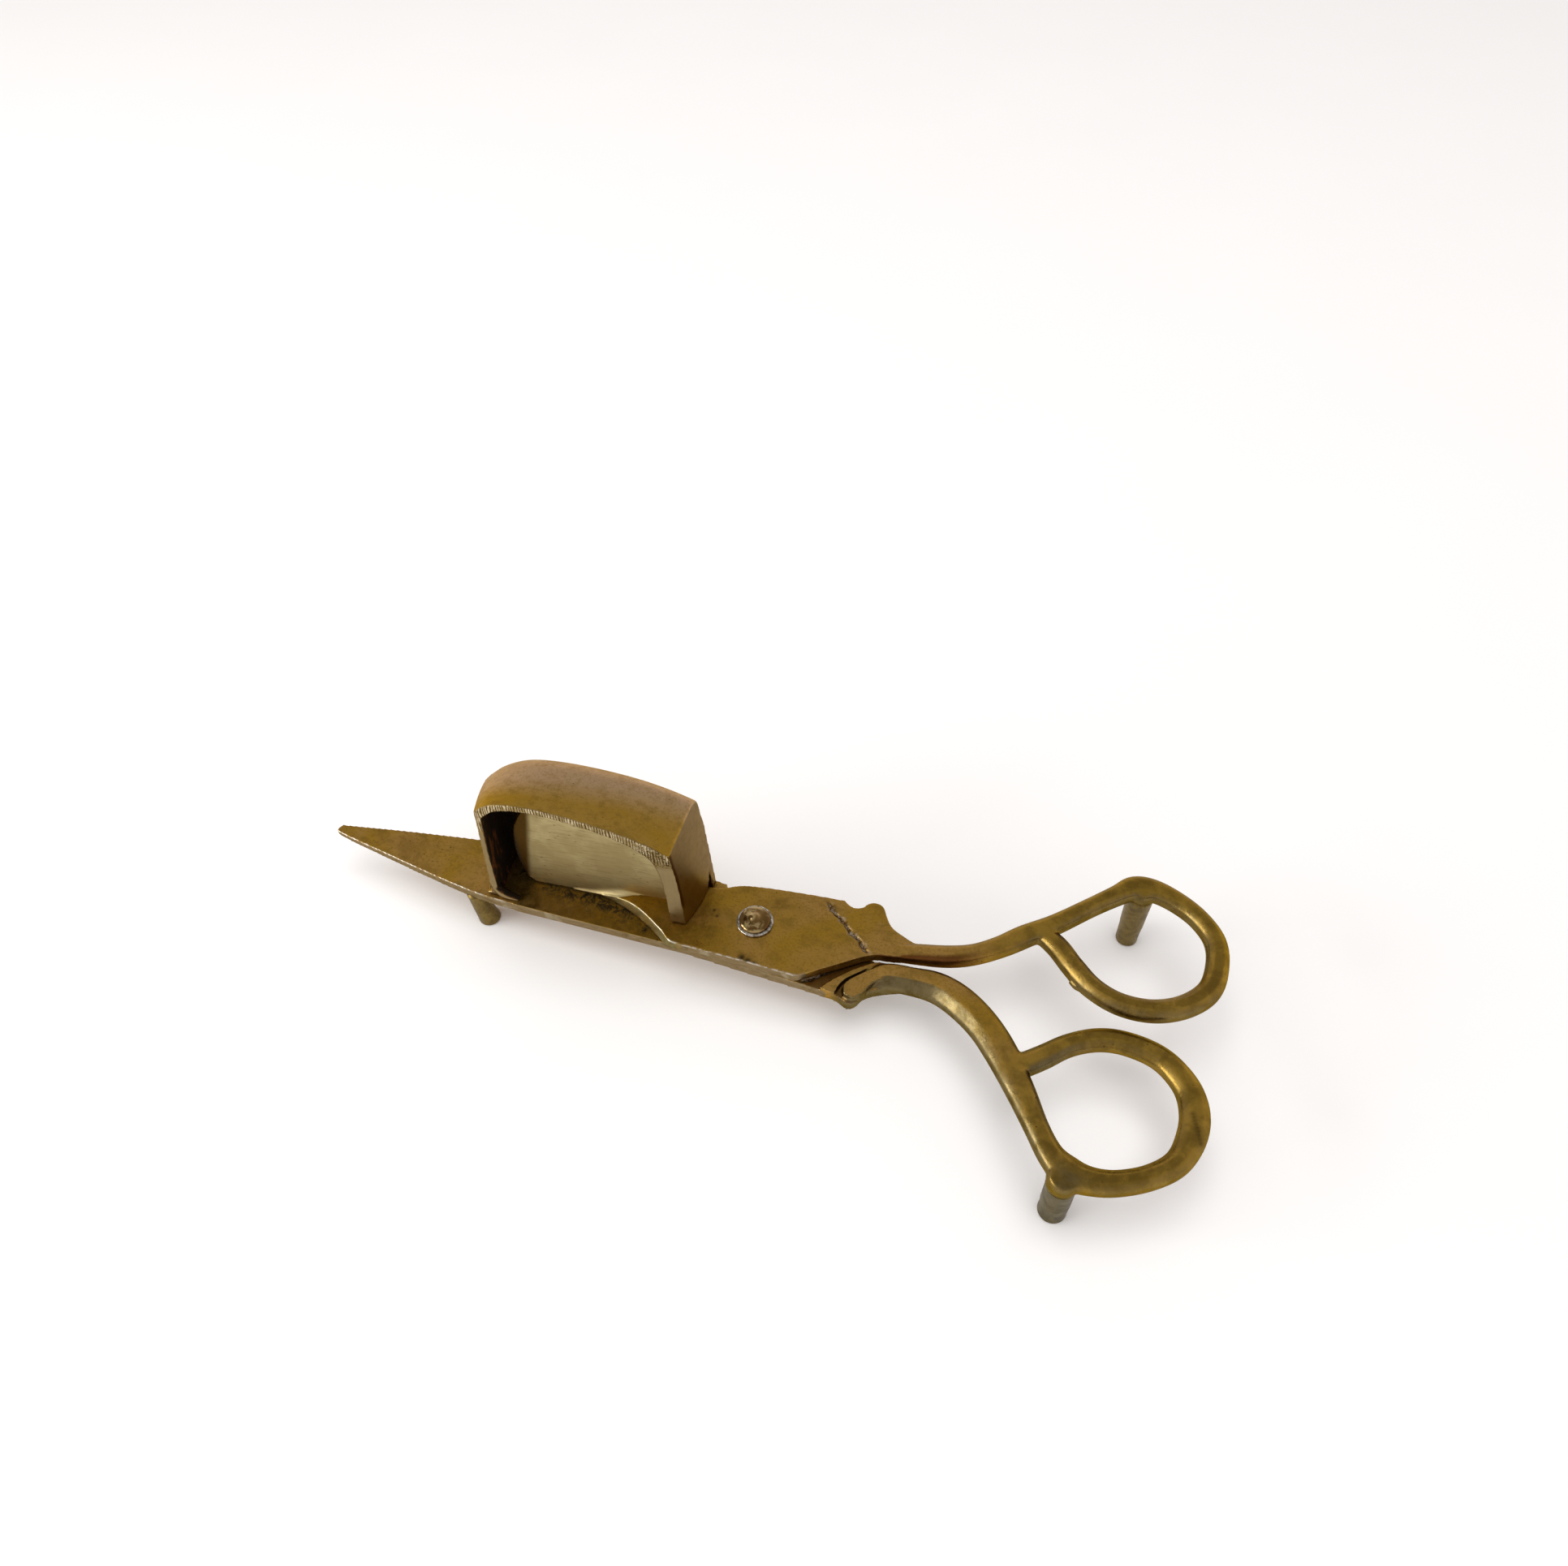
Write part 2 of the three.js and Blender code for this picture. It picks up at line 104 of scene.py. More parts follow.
def mesh_object(name, verts, faces):
    mesh = bpy.data.meshes.new(name)
    mesh.from_pydata([tuple(v) for v in verts], [], [tuple(f) for f in faces])
    bm = bmesh.new()
    bm.from_mesh(mesh)
    bmesh.ops.triangulate(bm, faces=[f for f in bm.faces if len(f.verts) > 4])
    bmesh.ops.recalc_face_normals(bm, faces=bm.faces)
    bm.to_mesh(mesh)
    bm.free()
    obj = bpy.data.objects.new(name, mesh)
    bpy.context.scene.collection.objects.link(obj)
    return obj


def prism(low, high):
    """Closed solid between two outlines of equally many points."""
    n = len(low)
    faces = [list(range(n))[::-1], list(range(n, 2 * n))]
    faces += [[i, (i + 1) % n, n + (i + 1) % n, n + i] for i in range(n)]
    return low + high, faces


def plate(outline, low, high):
    return prism([(x, y, low) for x, y in outline], [(x, y, high) for x, y in outline])


def skin(rings, around):
    """Faces that join rings of this many points each, closed over the first and the last ring."""
    faces = []
    for i in range(rings - 1):
        for k in range(around):
            a, b = i * around + k, i * around + (k + 1) % around
            faces.append([a, b, b + around, a + around])
    last = (rings - 1) * around
    return faces + [list(range(around)), list(range(last, last + around))[::-1]]


def rod(rows, steps=8):
    """Rounded-rectangle rod along rows of x, y, z, width, height and fall of its top to right and to left."""
    p = smooth([(list(row) + [0.1, 0.1])[:7] for row in rows], steps)
    n = len(p)
    verts = []
    for i in range(n):
        a, b = p[max(i - 1, 0)], p[min(i + 1, n - 1)]
        length = math.hypot(b[0] - a[0], b[1] - a[1])
        sx, sy = -(b[1] - a[1]) / length, (b[0] - a[0]) / length
        for k in range(ROD_SIDES):
            t = (k + 0.5) / ROD_SIDES * 2 * math.pi
            c, s = math.cos(t), math.sin(t)
            u = math.copysign(abs(c) ** ROD_SQUARENESS, c)
            w = math.copysign(abs(s) ** ROD_SQUARENESS, s) * p[i][4] / 2
            if w > 0:
                w *= 1 - (p[i][5] if u < 0 else p[i][6]) * max(abs(u) - ROD_CREASE, 0) / (1 - ROD_CREASE)
            u *= p[i][3] / 2
            verts.append((p[i][0] + sx * u, p[i][1] + sy * u, p[i][2] + w))
    return verts, skin(n, ROD_SIDES)


def turned(profile, around, x=0.0, y=0.0):
    """Solid of revolution; the profile of radius and height starts and ends on its vertical axis."""
    verts, faces = [], []
    ring = []
    for r, z in profile:
        if r < 1e-6:
            ring.append([len(verts)])
            verts.append((x, y, z))
        else:
            ring.append(list(range(len(verts), len(verts) + around)))
            for k in range(around):
                t = k / around * 2 * math.pi
                verts.append((x + r * math.cos(t), y + r * math.sin(t), z))
    for a, b in zip(ring, ring[1:]):
        for k in range(around):
            j = (k + 1) % around
            if len(a) == 1 and len(b) > 1:
                faces.append([a[0], b[j], b[k]])
            elif len(b) == 1 and len(a) > 1:
                faces.append([a[k], a[j], b[0]])
            elif len(a) > 1:
                faces.append([a[k], a[j], b[j], b[k]])
    return verts, faces


def ring_solid(profile, around):
    """Closed ring of revolution: the profile of radius and height closes on itself."""
    n = len(profile)
    verts = []
    for r, z in profile:
        for k in range(around):
            t = k / around * 2 * math.pi
            verts.append((r * math.cos(t), r * math.sin(t), z))
    faces = []
    for i in range(n):
        for k in range(around):
            j, m = (k + 1) % around, (i + 1) % n
            faces.append([i * around + k, i * around + j, m * around + j, m * around + k])
    return verts, faces


def apply_modifiers(obj):
    bpy.context.view_layer.update()
    graph = bpy.context.evaluated_depsgraph_get()
    mesh = bpy.data.meshes.new_from_object(obj.evaluated_get(graph))
    old = obj.data
    obj.modifiers.clear()
    obj.data = mesh
    bpy.data.meshes.remove(old)


def recast(obj):
    """Makes one skin of the overlapping solids in a mesh and softens it."""
    remesh = obj.modifiers.new("cast", "REMESH")
    remesh.mode = "VOXEL"
    remesh.voxel_size = VOXEL
    remesh.adaptivity = 0
    soft = obj.modifiers.new("soft", "SMOOTH")
    soft.factor = 0.5
    soft.iterations = SMOOTHING_ROUNDS
    apply_modifiers(obj)


def add(obj, verts, faces):
    """Puts a closed solid into the piece's mesh, to be joined when it is recast."""
    extra = mesh_object("extra", verts, faces)
    bm = bmesh.new()
    bm.from_mesh(obj.data)
    bm.from_mesh(extra.data)
    bm.to_mesh(obj.data)
    bm.free()
    bpy.data.objects.remove(extra)


def united(name, *solids):
    """One casting from several overlapping closed solids, with its edges and joints softened."""
    verts, faces = [], []
    for v, f in solids:
        first = len(verts)
        verts += v
        faces += [[i + first for i in face] for face in f]
    obj = mesh_object(name, verts, faces)
    recast(obj)
    return obj


def cut(obj, verts, faces):
    """Takes a closed solid away from the piece."""
    tool = mesh_object("tool", verts, faces)
    boolean = obj.modifiers.new("cut", "BOOLEAN")
    boolean.operation = "DIFFERENCE"
    boolean.solver = "EXACT"
    boolean.object = tool
    apply_modifiers(obj)
    bpy.data.objects.remove(tool)


def coords(obj):
    co = np.zeros(len(obj.data.vertices) * 3)
    obj.data.vertices.foreach_get("co", co)
    return co.reshape(-1, 3)


def normals(obj):
    no = np.zeros(len(obj.data.vertices) * 3, np.float32)
    obj.data.vertex_normals.foreach_get("vector", no)
    return no.reshape(-1, 3)


def set_coords(obj, co):
    obj.data.vertices.foreach_set("co", co.ravel())
    obj.data.update()


def edge_ends(obj):
    """The two vertices of every edge, as two arrays."""
    pairs = np.zeros(len(obj.data.edges) * 2, np.int64)
    obj.data.edges.foreach_get("vertices", pairs)
    return pairs.reshape(-1, 2).T


def soften(obj, weight, rounds):
    """Rounds off the surface where the weight is 1."""
    co = coords(obj)
    a, b = edge_ends(obj)
    count = np.bincount(np.concatenate([a, b]), minlength=len(co))[:, None]
    for _ in range(rounds):
        total = np.zeros_like(co)
        np.add.at(total, a, co[b])
        np.add.at(total, b, co[a])
        co += 0.6 * weight[:, None] * (total / np.maximum(count, 1) - co)
    set_coords(obj, co)


def ramp(value, low, high):
    t = np.clip((value - low) / (high - low), 0, 1)
    return t * t * (3 - 2 * t)


def lumps(co, size, seed):
    """Smooth unevenness between -1 and 1 with lumps about this many millimetres across."""
    rng = np.random.default_rng(seed)
    total = np.zeros(len(co))
    for _ in range(14):
        direction = rng.normal(size=3)
        direction *= 2 * math.pi / (size * rng.uniform(0.7, 2.2) * np.linalg.norm(direction))
        total += np.sin(co @ direction + rng.uniform(0, 2 * math.pi))
    return total / 7


def paint(obj, **masks):
    """Stores each mask as a number per vertex for the materials to read."""
    for name, values in masks.items():
        layer = obj.data.attributes.new(name, "FLOAT", "POINT")
        layer.data.foreach_set("value", np.asarray(values, np.float32))


def edge_wear(obj):
    """How convex the surface is at each vertex, from 0 to 1, and how hollow."""
    co, no = coords(obj), normals(obj)
    a, b = edge_ends(obj)
    span = co[b] - co[a]
    length = np.linalg.norm(span, axis=1) + 1e-9
    bend = np.zeros(len(co))
    count = np.zeros(len(co))
    np.add.at(bend, a, -(span * no[a]).sum(1) / length)
    np.add.at(bend, b, (span * no[b]).sum(1) / length)
    np.add.at(count, a, 1)
    np.add.at(count, b, 1)
    bend /= np.maximum(count, 1)
    for _ in range(2):
        spread = np.zeros(len(co))
        np.add.at(spread, a, bend[b])
        np.add.at(spread, b, bend[a])
        bend = 0.4 * bend + 0.6 * spread / np.maximum(count, 1)
    return np.clip(bend * 4.5 - 0.15, 0, 1), np.clip(-bend * 4.5 - 0.1, 0, 1)


def finished(obj, body, node, material):
    """Moves a piece to the row frame in metres and hands it to its body."""
    place = (coords(obj) + np.array([PIVOT.x, PIVOT.y, 0])) * MM
    set_coords(obj, place)
    obj.data.polygons.foreach_set("use_smooth", [True] * len(obj.data.polygons))
    obj.data.materials.clear()
    obj.data.materials.append(material)
    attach(obj, body)
    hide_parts(node)


# ---- outlines ---------------------------------------------------------------------------------------
def box_arm_outline():
    front = smooth([
        [-87.5, -0.4], [-86.3, -1.35], [-75.0, -3.5], [-64.0, -5.5], [-54.0, -7.0], [-46.0, -7.4],
        [-34.0, -7.5], [-13.0, -7.5], [0.0, -8.15], [10.5, -8.7], [15.5, -9.05],
    ], 8)
    knuckle = smooth([
        [15.5, -9.05], [18.0, -9.3], [20.2, -10.2], [21.6, -9.4], [22.6, -7.7], [25.2, -5.9], [30.0, -4.2],
    ], 8)
    inner = smooth([[30.0, -1.6], [27.0, -0.7], [23.5, -0.8], [18.5, 2.0], [13.5, 5.2], [9.5, 6.6]], 8)
    rear = smooth([
        [9.5, 6.6], [2.0, 6.4], [-4.0, 6.6], [-8.0, 7.6], [-12.0, 8.5], [-44.0, 8.5], [-49.0, 7.2],
        [-52.0, 5.5], [-60.0, 4.7], [-74.0, 2.7], [-87.0, 0.6],
    ], 8)
    return front[:-1] + knuckle + inner[:-1] + rear


HOOK_EDGE = [[-36.0, -0.7], [-33.0, -0.85], [-29.0, -1.35], [-25.5, -2.4], [-22.5, -3.6], [-19.8, -5.0],
             [-17.2, -6.6], [-15.0, -7.9], [-12.5, -8.4], [-9.5, -8.4]]


def hook_edge_y(x):
    return np.interp(x, *np.array(HOOK_EDGE).T)


def pusher_arm_outline():
    hook = smooth(HOOK_EDGE, 8)
    front = smooth([[-9.5, -8.4], [0.0, -8.5], [9.8, -8.8]], 6)
    inner = smooth([[10.8, -8.4], [16.6, -4.5], [22.0, -0.9], [26.0, -0.1], [30.0, 0.7]], 8)
    knuckle = smooth([
        [30.0, 3.5], [26.6, 4.8], [24.4, 6.0], [23.0, 7.9], [21.9, 9.8], [20.4, 10.4], [19.0, 9.8],
        [18.2, 8.75], [16.8, 8.2], [15.6, 8.55], [14.6, 9.25],
    ], 6)
    rear = smooth([[14.6, 9.25], [8.0, 8.8], [0.0, 8.0], [-5.0, 7.1], [-8.5, 5.5], [-12.0, 5.1]], 8)
    back = smooth([[-12.0, 5.1], [-20.0, 3.6], [-30.0, 0.55], [-36.0, -0.4]], 8)
    return hook[:-1] + front + inner + knuckle[:-1] + rear[:-1] + back


BOX_ARM_BOW = [
    [20.6, -5.4, 9.2, 2.4, 1.6, 0.2, 0.2], [23.0, -4.4, 9.7, 3.8, 2.9, 0.5, 0.05],
    [25.8, -3.25, 10.4, 4.6, 3.9, 0.8, 0.0], [30.5, -3.05, 10.8, 4.6, 4.3, 0.9, 0.0],
    [35.0, -3.3, 11.1, 5.1, 4.4, 0.9, 0.0], [39.5, -5.2, 11.5, 5.6, 4.3, 0.85, 0.05],
    [44.2, -8.7, 11.9, 5.6, 4.2, 0.75, 0.15], [48.2, -13.3, 12.4, 5.5, 3.9, 0.6, 0.2],
    [52.3, -19.2, 12.8, 4.8, 3.7, 0.5, 0.3], [56.1, -25.1, 13.0, 4.0, 3.5, 0.45, 0.35],
    [59.1, -29.1, 13.0, 4.2, 3.6, 0.35, 0.4], [62.1, -31.1, 13.0, 5.1, 3.6, 0.2, 0.5],
    [65.4, -31.6, 13.0, 4.4, 3.7, 0.3, 0.5], [69.5, -30.85, 13.0, 3.9, 3.8, 0.45, 0.5],
    [74.5, -28.4, 13.0, 3.8, 3.8, 0.5, 0.5], [78.4, -24.8, 13.0, 4.1, 3.8, 0.5, 0.5],
    [80.2, -20.0, 13.0, 4.7, 3.7, 0.4, 0.5], [80.3, -15.3, 13.0, 4.8, 3.6, 0.4, 0.55],
    [78.5, -10.9, 13.0, 4.5, 3.5, 0.4, 0.6], [74.2, -7.2, 13.0, 4.1, 3.5, 0.4, 0.6],
    [68.8, -5.9, 13.0, 3.9, 3.5, 0.4, 0.6], [63.8, -6.4, 13.0, 3.8, 3.5, 0.4, 0.6],
    [59.0, -8.8, 12.9, 3.7, 3.5, 0.4, 0.55], [54.8, -12.4, 12.7, 3.9, 3.6, 0.4, 0.5],
    [50.6, -15.6, 12.4, 3.9, 3.4, 0.4, 0.4], [49.2, -16.0, 11.9, 3.0, 2.8, 0.4, 0.4],
]
PUSHER_ARM_BOW = [
    [21.0, 2.9, 11.2, 3.0, 1.4, 0.1, 0.3], [26.0, 2.0, 11.5, 3.6, 2.4, 0.15, 0.5],
    [31.5, 2.25, 12.3, 3.8, 3.5, 0.2, 0.55], [36.0, 2.85, 12.9, 3.8, 3.7, 0.25, 0.55],
    [40.0, 4.1, 13.5, 3.6, 3.7, 0.3, 0.55], [44.0, 6.4, 14.2, 3.7, 3.7, 0.3, 0.5],
    [47.8, 9.3, 14.9, 4.0, 3.7, 0.3, 0.5], [52.8, 12.9, 15.8, 3.5, 3.6, 0.35, 0.5],
    [58.4, 18.1, 16.2, 3.2, 3.5, 0.4, 0.5], [62.3, 21.7, 16.3, 3.5, 3.5, 0.4, 0.45],
    [65.2, 24.2, 16.3, 4.4, 3.4, 0.3, 0.35], [68.6, 24.7, 16.3, 4.2, 3.4, 0.4, 0.4],
    [72.8, 23.4, 16.3, 3.8, 3.4, 0.5, 0.45], [77.0, 20.8, 16.3, 3.6, 3.5, 0.5, 0.5],
    [80.2, 16.8, 16.3, 3.7, 3.5, 0.5, 0.5], [81.05, 11.8, 16.3, 3.9, 3.5, 0.5, 0.5],
    [80.1, 6.3, 16.2, 4.1, 3.7, 0.5, 0.5], [76.4, 2.1, 16.2, 3.9, 3.7, 0.5, 0.5],
    [71.4, -0.2, 16.1, 3.7, 3.8, 0.5, 0.5], [66.0, -0.4, 16.0, 3.6, 3.8, 0.5, 0.5],
    [61.2, 1.4, 15.9, 3.6, 3.7, 0.5, 0.5], [57.2, 4.8, 15.7, 3.8, 3.6, 0.45, 0.5],
    [54.0, 8.3, 15.4, 3.9, 3.5, 0.4, 0.5], [51.2, 10.4, 14.9, 3.4, 3.2, 0.3, 0.4],
    [49.6, 10.8, 14.3, 2.6, 2.6, 0.3, 0.4],
]


def engraved(co, start, end, top, width, depth):
    """Lowers the top face along a line to a V groove that fades out at both ends."""
    a, b = np.array(start), np.array(end)
    along = (b - a) / np.linalg.norm(b - a)
    t = (co[:, :2] - a) @ along
    off = (co[:, 0] - a[0]) * along[1] - (co[:, 1] - a[1]) * along[0]
    off = np.abs(off + 0.14 * np.sin(1.3 * t) + 0.07 * np.sin(4.1 * t))
    off *= 1 + 0.3 * np.sin(1.9 * t)
    length = np.linalg.norm(b - a)
    inside = ramp(t, 0, 2.0) * ramp(-t, -length, -length + 2.0)
    drop = np.clip(1 - off / width, 0, 1) * inside * (co[:, 2] > top - 0.5)
    co[:, 2] -= depth * drop
    return np.clip(1.15 - off / width, 0, 1) * inside * (co[:, 2] > top - 0.9)


def uneven(obj, amount, size, seed, swell=0.05):
    """Gentle hollows of a hand-finished casting, about the surface it had before it was softened."""
    co, no = coords(obj), normals(obj)
    depth = np.clip(amount * (0.5 + 0.5 * lumps(co, size, seed)), 0, amount) - swell
    set_coords(obj, co - no * depth[:, None])


# ---- pieces -----------------------------------------------------------------------------------------
def box_arm():
    verts, faces = plate(box_arm_outline(), LOWER_LOW, LOWER_TOP)
    verts = [
        (x, y, z + (0.9 * min(max((-56 - x) / 32, 0), 1) if z < LOWER_LOW + 1 else 0)) for x, y, z in verts
    ]
    fx, fy, top, r, _ = BOX_ARM_FOOT
    boss = turned([[0, top + 0.1], [r, top + 0.1], [r, 13.6], [r * 0.85, 14.3], [0, 14.6]], 40, fx, fy)
    thumb = plate(smooth([
        [19.3, -9.2], [18.9, -7.6], [19.7, -6.0], [21.4, -4.3], [23.4, -2.6], [26.0, -1.5], [29.5, -2.0],
        [28.0, -3.6], [24.8, -4.8], [23.4, -6.4], [22.6, -8.3], [21.0, -9.6], [19.3, -9.2],
    ], 6)[:-1], 9.0, 11.75)
    leaf = plate(smooth([
        [15.0, -9.0], [16.0, -7.5], [18.3, -4.9], [20.8, -2.8], [23.3, -1.1], [25.6, -0.9], [23.0, -2.2],
        [20.6, -4.3], [18.9, -6.0], [18.0, -7.8], [17.6, -9.2], [16.2, -9.3], [15.0, -9.0],
    ], 6)[:-1], 9.0, 11.2)
    knob = rod([[18.6, -9.0, 9.2, 1.2, 1.8], [20.3, -9.3, 9.3, 1.8, 2.6], [21.6, -8.8, 9.4, 1.4, 2.4]], 8)
    obj = united("box_arm_casting", (verts, faces), rod(BOX_ARM_BOW), boss, thumb, leaf, knob)
    cut(obj, *turned([[0, 4], [BORE_R, 4], [BORE_R, 16], [0, 16]], 48))
    co = coords(obj)
    near_foot = ramp(-np.hypot(co[:, 0] - fx, co[:, 1] - fy), -5, -3)
    soften(obj, ramp(co[:, 0], 25, 32) * (1 - 0.6 * near_foot), 14)
    co = coords(obj)
    groove = engraved(co, (10.6, -8.9), (17.4, -2.9), LOWER_TOP, 0.5, 0.45)
    set_coords(obj, co)
    uneven(obj, 0.07, 9.0, 3, 0.05 + 0.07 * ramp(co[:, 0], 28, 36))
    return obj, groove


def pusher_arm():
    fx, fy, top, r, _ = PUSHER_ARM_FOOT
    boss = turned([[0, top + 0.1], [r, top + 0.1], [r, 16.4], [r * 0.8, 17.3], [0, 17.5]], 40, fx, fy)
    nib = rod([[58.9, 1.3, 15.3, 1.2, 1.4], [58.0, 1.6, 15.1, 0.9, 1.1], [57.2, 2.3, 15.1, 0.8, 0.9]], 6)
    tongue = plate(pusher_arm_outline(), UPPER_LOW, UPPER_TOP)
    obj = united("pusher_arm_casting", tongue, rod(PUSHER_ARM_BOW), boss, nib)
    cut(obj, *turned([[0, 4], [BORE_R, 4], [BORE_R, 20], [0, 20]], 48))
    co = coords(obj)
    soften(obj, ramp(co[:, 0], 26, 34) * ramp(np.hypot(co[:, 0] - 58.0, co[:, 1] - 1.6), 1.5, 3.0), 10)
    co = coords(obj)
    groove = engraved(co, (10.8, 8.6), (22.4, -1.1), UPPER_TOP, 0.65, 0.6)
    lip = np.interp(co[:, 0], [s[0] for s in HOOK_LIP], [s[3] for s in HOOK_LIP])
    co[:, 2] = UPPER_LOW + (co[:, 2] - UPPER_LOW) * np.where(co[:, 0] < -17, (lip - UPPER_LOW) / 2.2, 1)
    near = np.clip(1 - (co[:, 1] - hook_edge_y(co[:, 0])) / 1.8, 0, 1) * ramp(-co[:, 0], 13.6, 16.2)
    co[:, 1] += 0.85 * near * np.clip((co[:, 2] - UPPER_LOW) / 2.2, 0, 1)
    set_coords(obj, co)
    uneven(obj, 0.07, 9.0, 4, 0.05 + 0.05 * ramp(co[:, 0], 28, 36))
    return obj, groove


# Where the sweeping plate runs down into the blade: x, reach forward, height of the curve, blade's top.
HOOK_LIP = [[-36.0, 0.20, 0.3, 10.7], [-32.0, 0.50, 0.9, 11.0], [-29.0, 0.95, 1.6, 11.5],
            [-26.5, 1.15, 1.8, 11.9], [-24.0, 0.55, 0.7, 12.5], [-21.5, 0.15, 0.2, 12.7],
            [-16.6, 0.10, 0.1, 12.7]]
# Height of the box's roof against x, at the mouth and at the back.
ROOF_FRONT = [[-48.7, 36.0], [-46.4, 38.1], [-43.4, 39.3], [-39.0, 39.8], [-33.5, 39.5], [-28.0, 38.6],
              [-22.0, 37.1], [-16.8, 35.1], [-13.4, 33.0]]
ROOF_BACK = [[-49.6, 32.6], [-47.4, 35.2], [-44.2, 37.4], [-40.3, 38.6], [-35.0, 39.3], [-29.0, 39.5],
             [-22.5, 39.1], [-17.0, 38.1], [-12.3, 36.7]]


def box_section(s, inset, low):
    """Arch of the box at depth s, 0 at the mouth and 1 at the back, from the left base over the roof."""
    front, back = smooth(ROOF_FRONT, 8), smooth(ROOF_BACK, 8)
    depth = BOX_REAR - (WALL_REAR if inset else 0) + 5.4

    def fall(radius):
        past = min(max((s * depth - depth + radius) / radius, 0), 1)
        return radius * (1 - math.sqrt(1 - past * past))

    roof = WALL_ROOF if inset else 0
    left = WALL_LEFT if inset else 0
    right = WALL_RIGHT if inset else 0
    corner = left + 0.97 * fall(CORNER_ROUND - left)
    drop = roof + 0.97 * fall(ROOF_ROUND - roof)
    bulge = 1.9 * math.sin(math.pi * min(s, 0.7) / 1.4)
    points = []
    for i, (f, b) in enumerate(zip(front, back)):
        t = i / (len(front) - 1)
        x = f[0] + (b[0] - f[0]) * s + (corner - bulge) * (1 - t) ** 2 - right * t * t
        z = f[1] + (b[1] - f[1]) * s - drop - (2.2 * t ** 10 if inset else 0)
        points.append([x, z])
    swell = 0.5 * s + 0.8 * math.sin(math.pi * s)
    base_left = [BOX_LEFT + corner - 0.4 * bulge, low]
    mid_left = [BOX_LEFT + 1.0 + corner - bulge, 24]
    mid_right = [BOX_RIGHT - 0.5 + 0.7 * s - right, 24]
    base_right = [BOX_RIGHT + 0.9 * s - right, low]
    left_wall = smooth([base_left, mid_left, points[0]], 10)[:-1]
    right_wall = smooth([points[-1], mid_right, base_right], 10)[1:]
    for k, point in enumerate(right_wall):
        point[0] += swell * (k + 1) / len(right_wall)
    return left_wall + points + right_wall


def mouth_y(x):
    return MOUTH_LEFT_Y + (x - BOX_LEFT) * MOUTH_SLOPE


def box_solid(inset, low):
    rear = BOX_REAR - (WALL_REAR if inset else 0)
    depths = [0, 0.1, 0.2, 0.3, 0.4, 0.5, 0.6, 0.7, 0.76, 0.82, 0.87, 0.91, 0.94, 0.965, 0.985, 0.996, 1]
    verts = []
    for j, s in enumerate(depths):
        for x, z in box_section(s, inset, low):
            start = mouth_y(x) - (4 if inset and j == 0 else 0)
            verts.append((x, start + (rear - start) * s, z))
    return verts, skin(len(depths), len(verts) // len(depths))


def wick_box():
    obj = mesh_object("wick_box_shell", *box_solid(False, BOX_FLOOR))
    cut(obj, *box_solid(True, BOX_FLOOR - 5))
    back = BOX_REAR - WALL_REAR
    slot = [[-12, 0], [back, 0], [back, SLOT_Z + 3.0], [4.2, SLOT_Z], [-12, SLOT_Z]]
    x0, x1 = BOX_RIGHT - WALL_RIGHT - 1.5, BOX_RIGHT + 2.5
    cut(obj, *prism([(x0, y, z) for y, z in slot], [(x1, y, z) for y, z in slot]))
    left = rod([[-50.3, -6.5, 10.75, 2.6, 0.9, 0.9, 0.9], [-50.4, -5.0, 10.75, 3.0, 0.9, 0.9, 0.9],
                [-50.8, -2.0, 10.75, 2.6, 0.8, 0.9, 0.9], [-51.0, 2.0, 10.7, 2.2, 0.7, 0.9, 0.9]], 4)
    add(obj, *left)
    toe = rod([[-50.3, -6.0, 15.0, 1.2, 1.6], [-49.7, -6.0, 12.9, 1.6, 2.2], [-48.6, -6.0, 11.3, 1.8, 2.0],
               [-46.6, -6.0, 10.6, 1.6, 0.9], [-45.2, -6.0, 10.45, 1.2, 0.4]], 6)
    add(obj, *toe)
    recast(obj)
    co = coords(obj)
    ridge = ramp(co[:, 0], -17, -14) * ramp(co[:, 2], 28, 31) * ramp(co[:, 1], -3.4, -1.5)
    soften(obj, ridge, 24)
    uneven(obj, 0.09, 12.0, 5)
    return obj


def plate_front(x):
    return 0.3 + (x - PLATE_RIGHT) * PLATE_SLOPE


def pusher_plate():
    side = smooth([
        [-43.6, UPPER_LOW], [-45.2, 12.4], [-46.2, 18.5], [-45.4, 26.2], [-43.3, 31.2], [-40.6, 34.6],
        [-36.5, 36.2],
    ], 8)
    top = smooth([[-36.5, 36.2], [-30.0, 35.4], [-24.5, 33.6], [-20.0, 31.0], [PLATE_RIGHT, 28.0]], 8)
    foot = UPPER_TOP + SEAT
    outline = side[:-1] + top + [[PLATE_RIGHT, foot], [-30.4, foot], [-30.4, UPPER_LOW]]
    sheet = prism([(x, plate_front(x), z) for x, z in outline],
                  [(x, plate_front(x) + PLATE_T, z) for x, z in outline])
    web = []
    arc = [k / 10 * math.pi / 2 for k in range(11)]
    sweep = smooth(HOOK_LIP, 6)
    for x, reach, rise, lip in sweep:
        front = plate_front(x)
        web += [(x, front + 0.5, lip - 0.25), (x, front + 0.5, lip + rise)]
        for a in arc:
            web.append((x, front - reach + reach * math.cos(a), lip + rise - rise * math.sin(a)))
        web.append((x, front - reach, lip - 0.25))
    return united("pusher_plate_sheet", sheet, (web, skin(len(sweep), len(arc) + 3)))


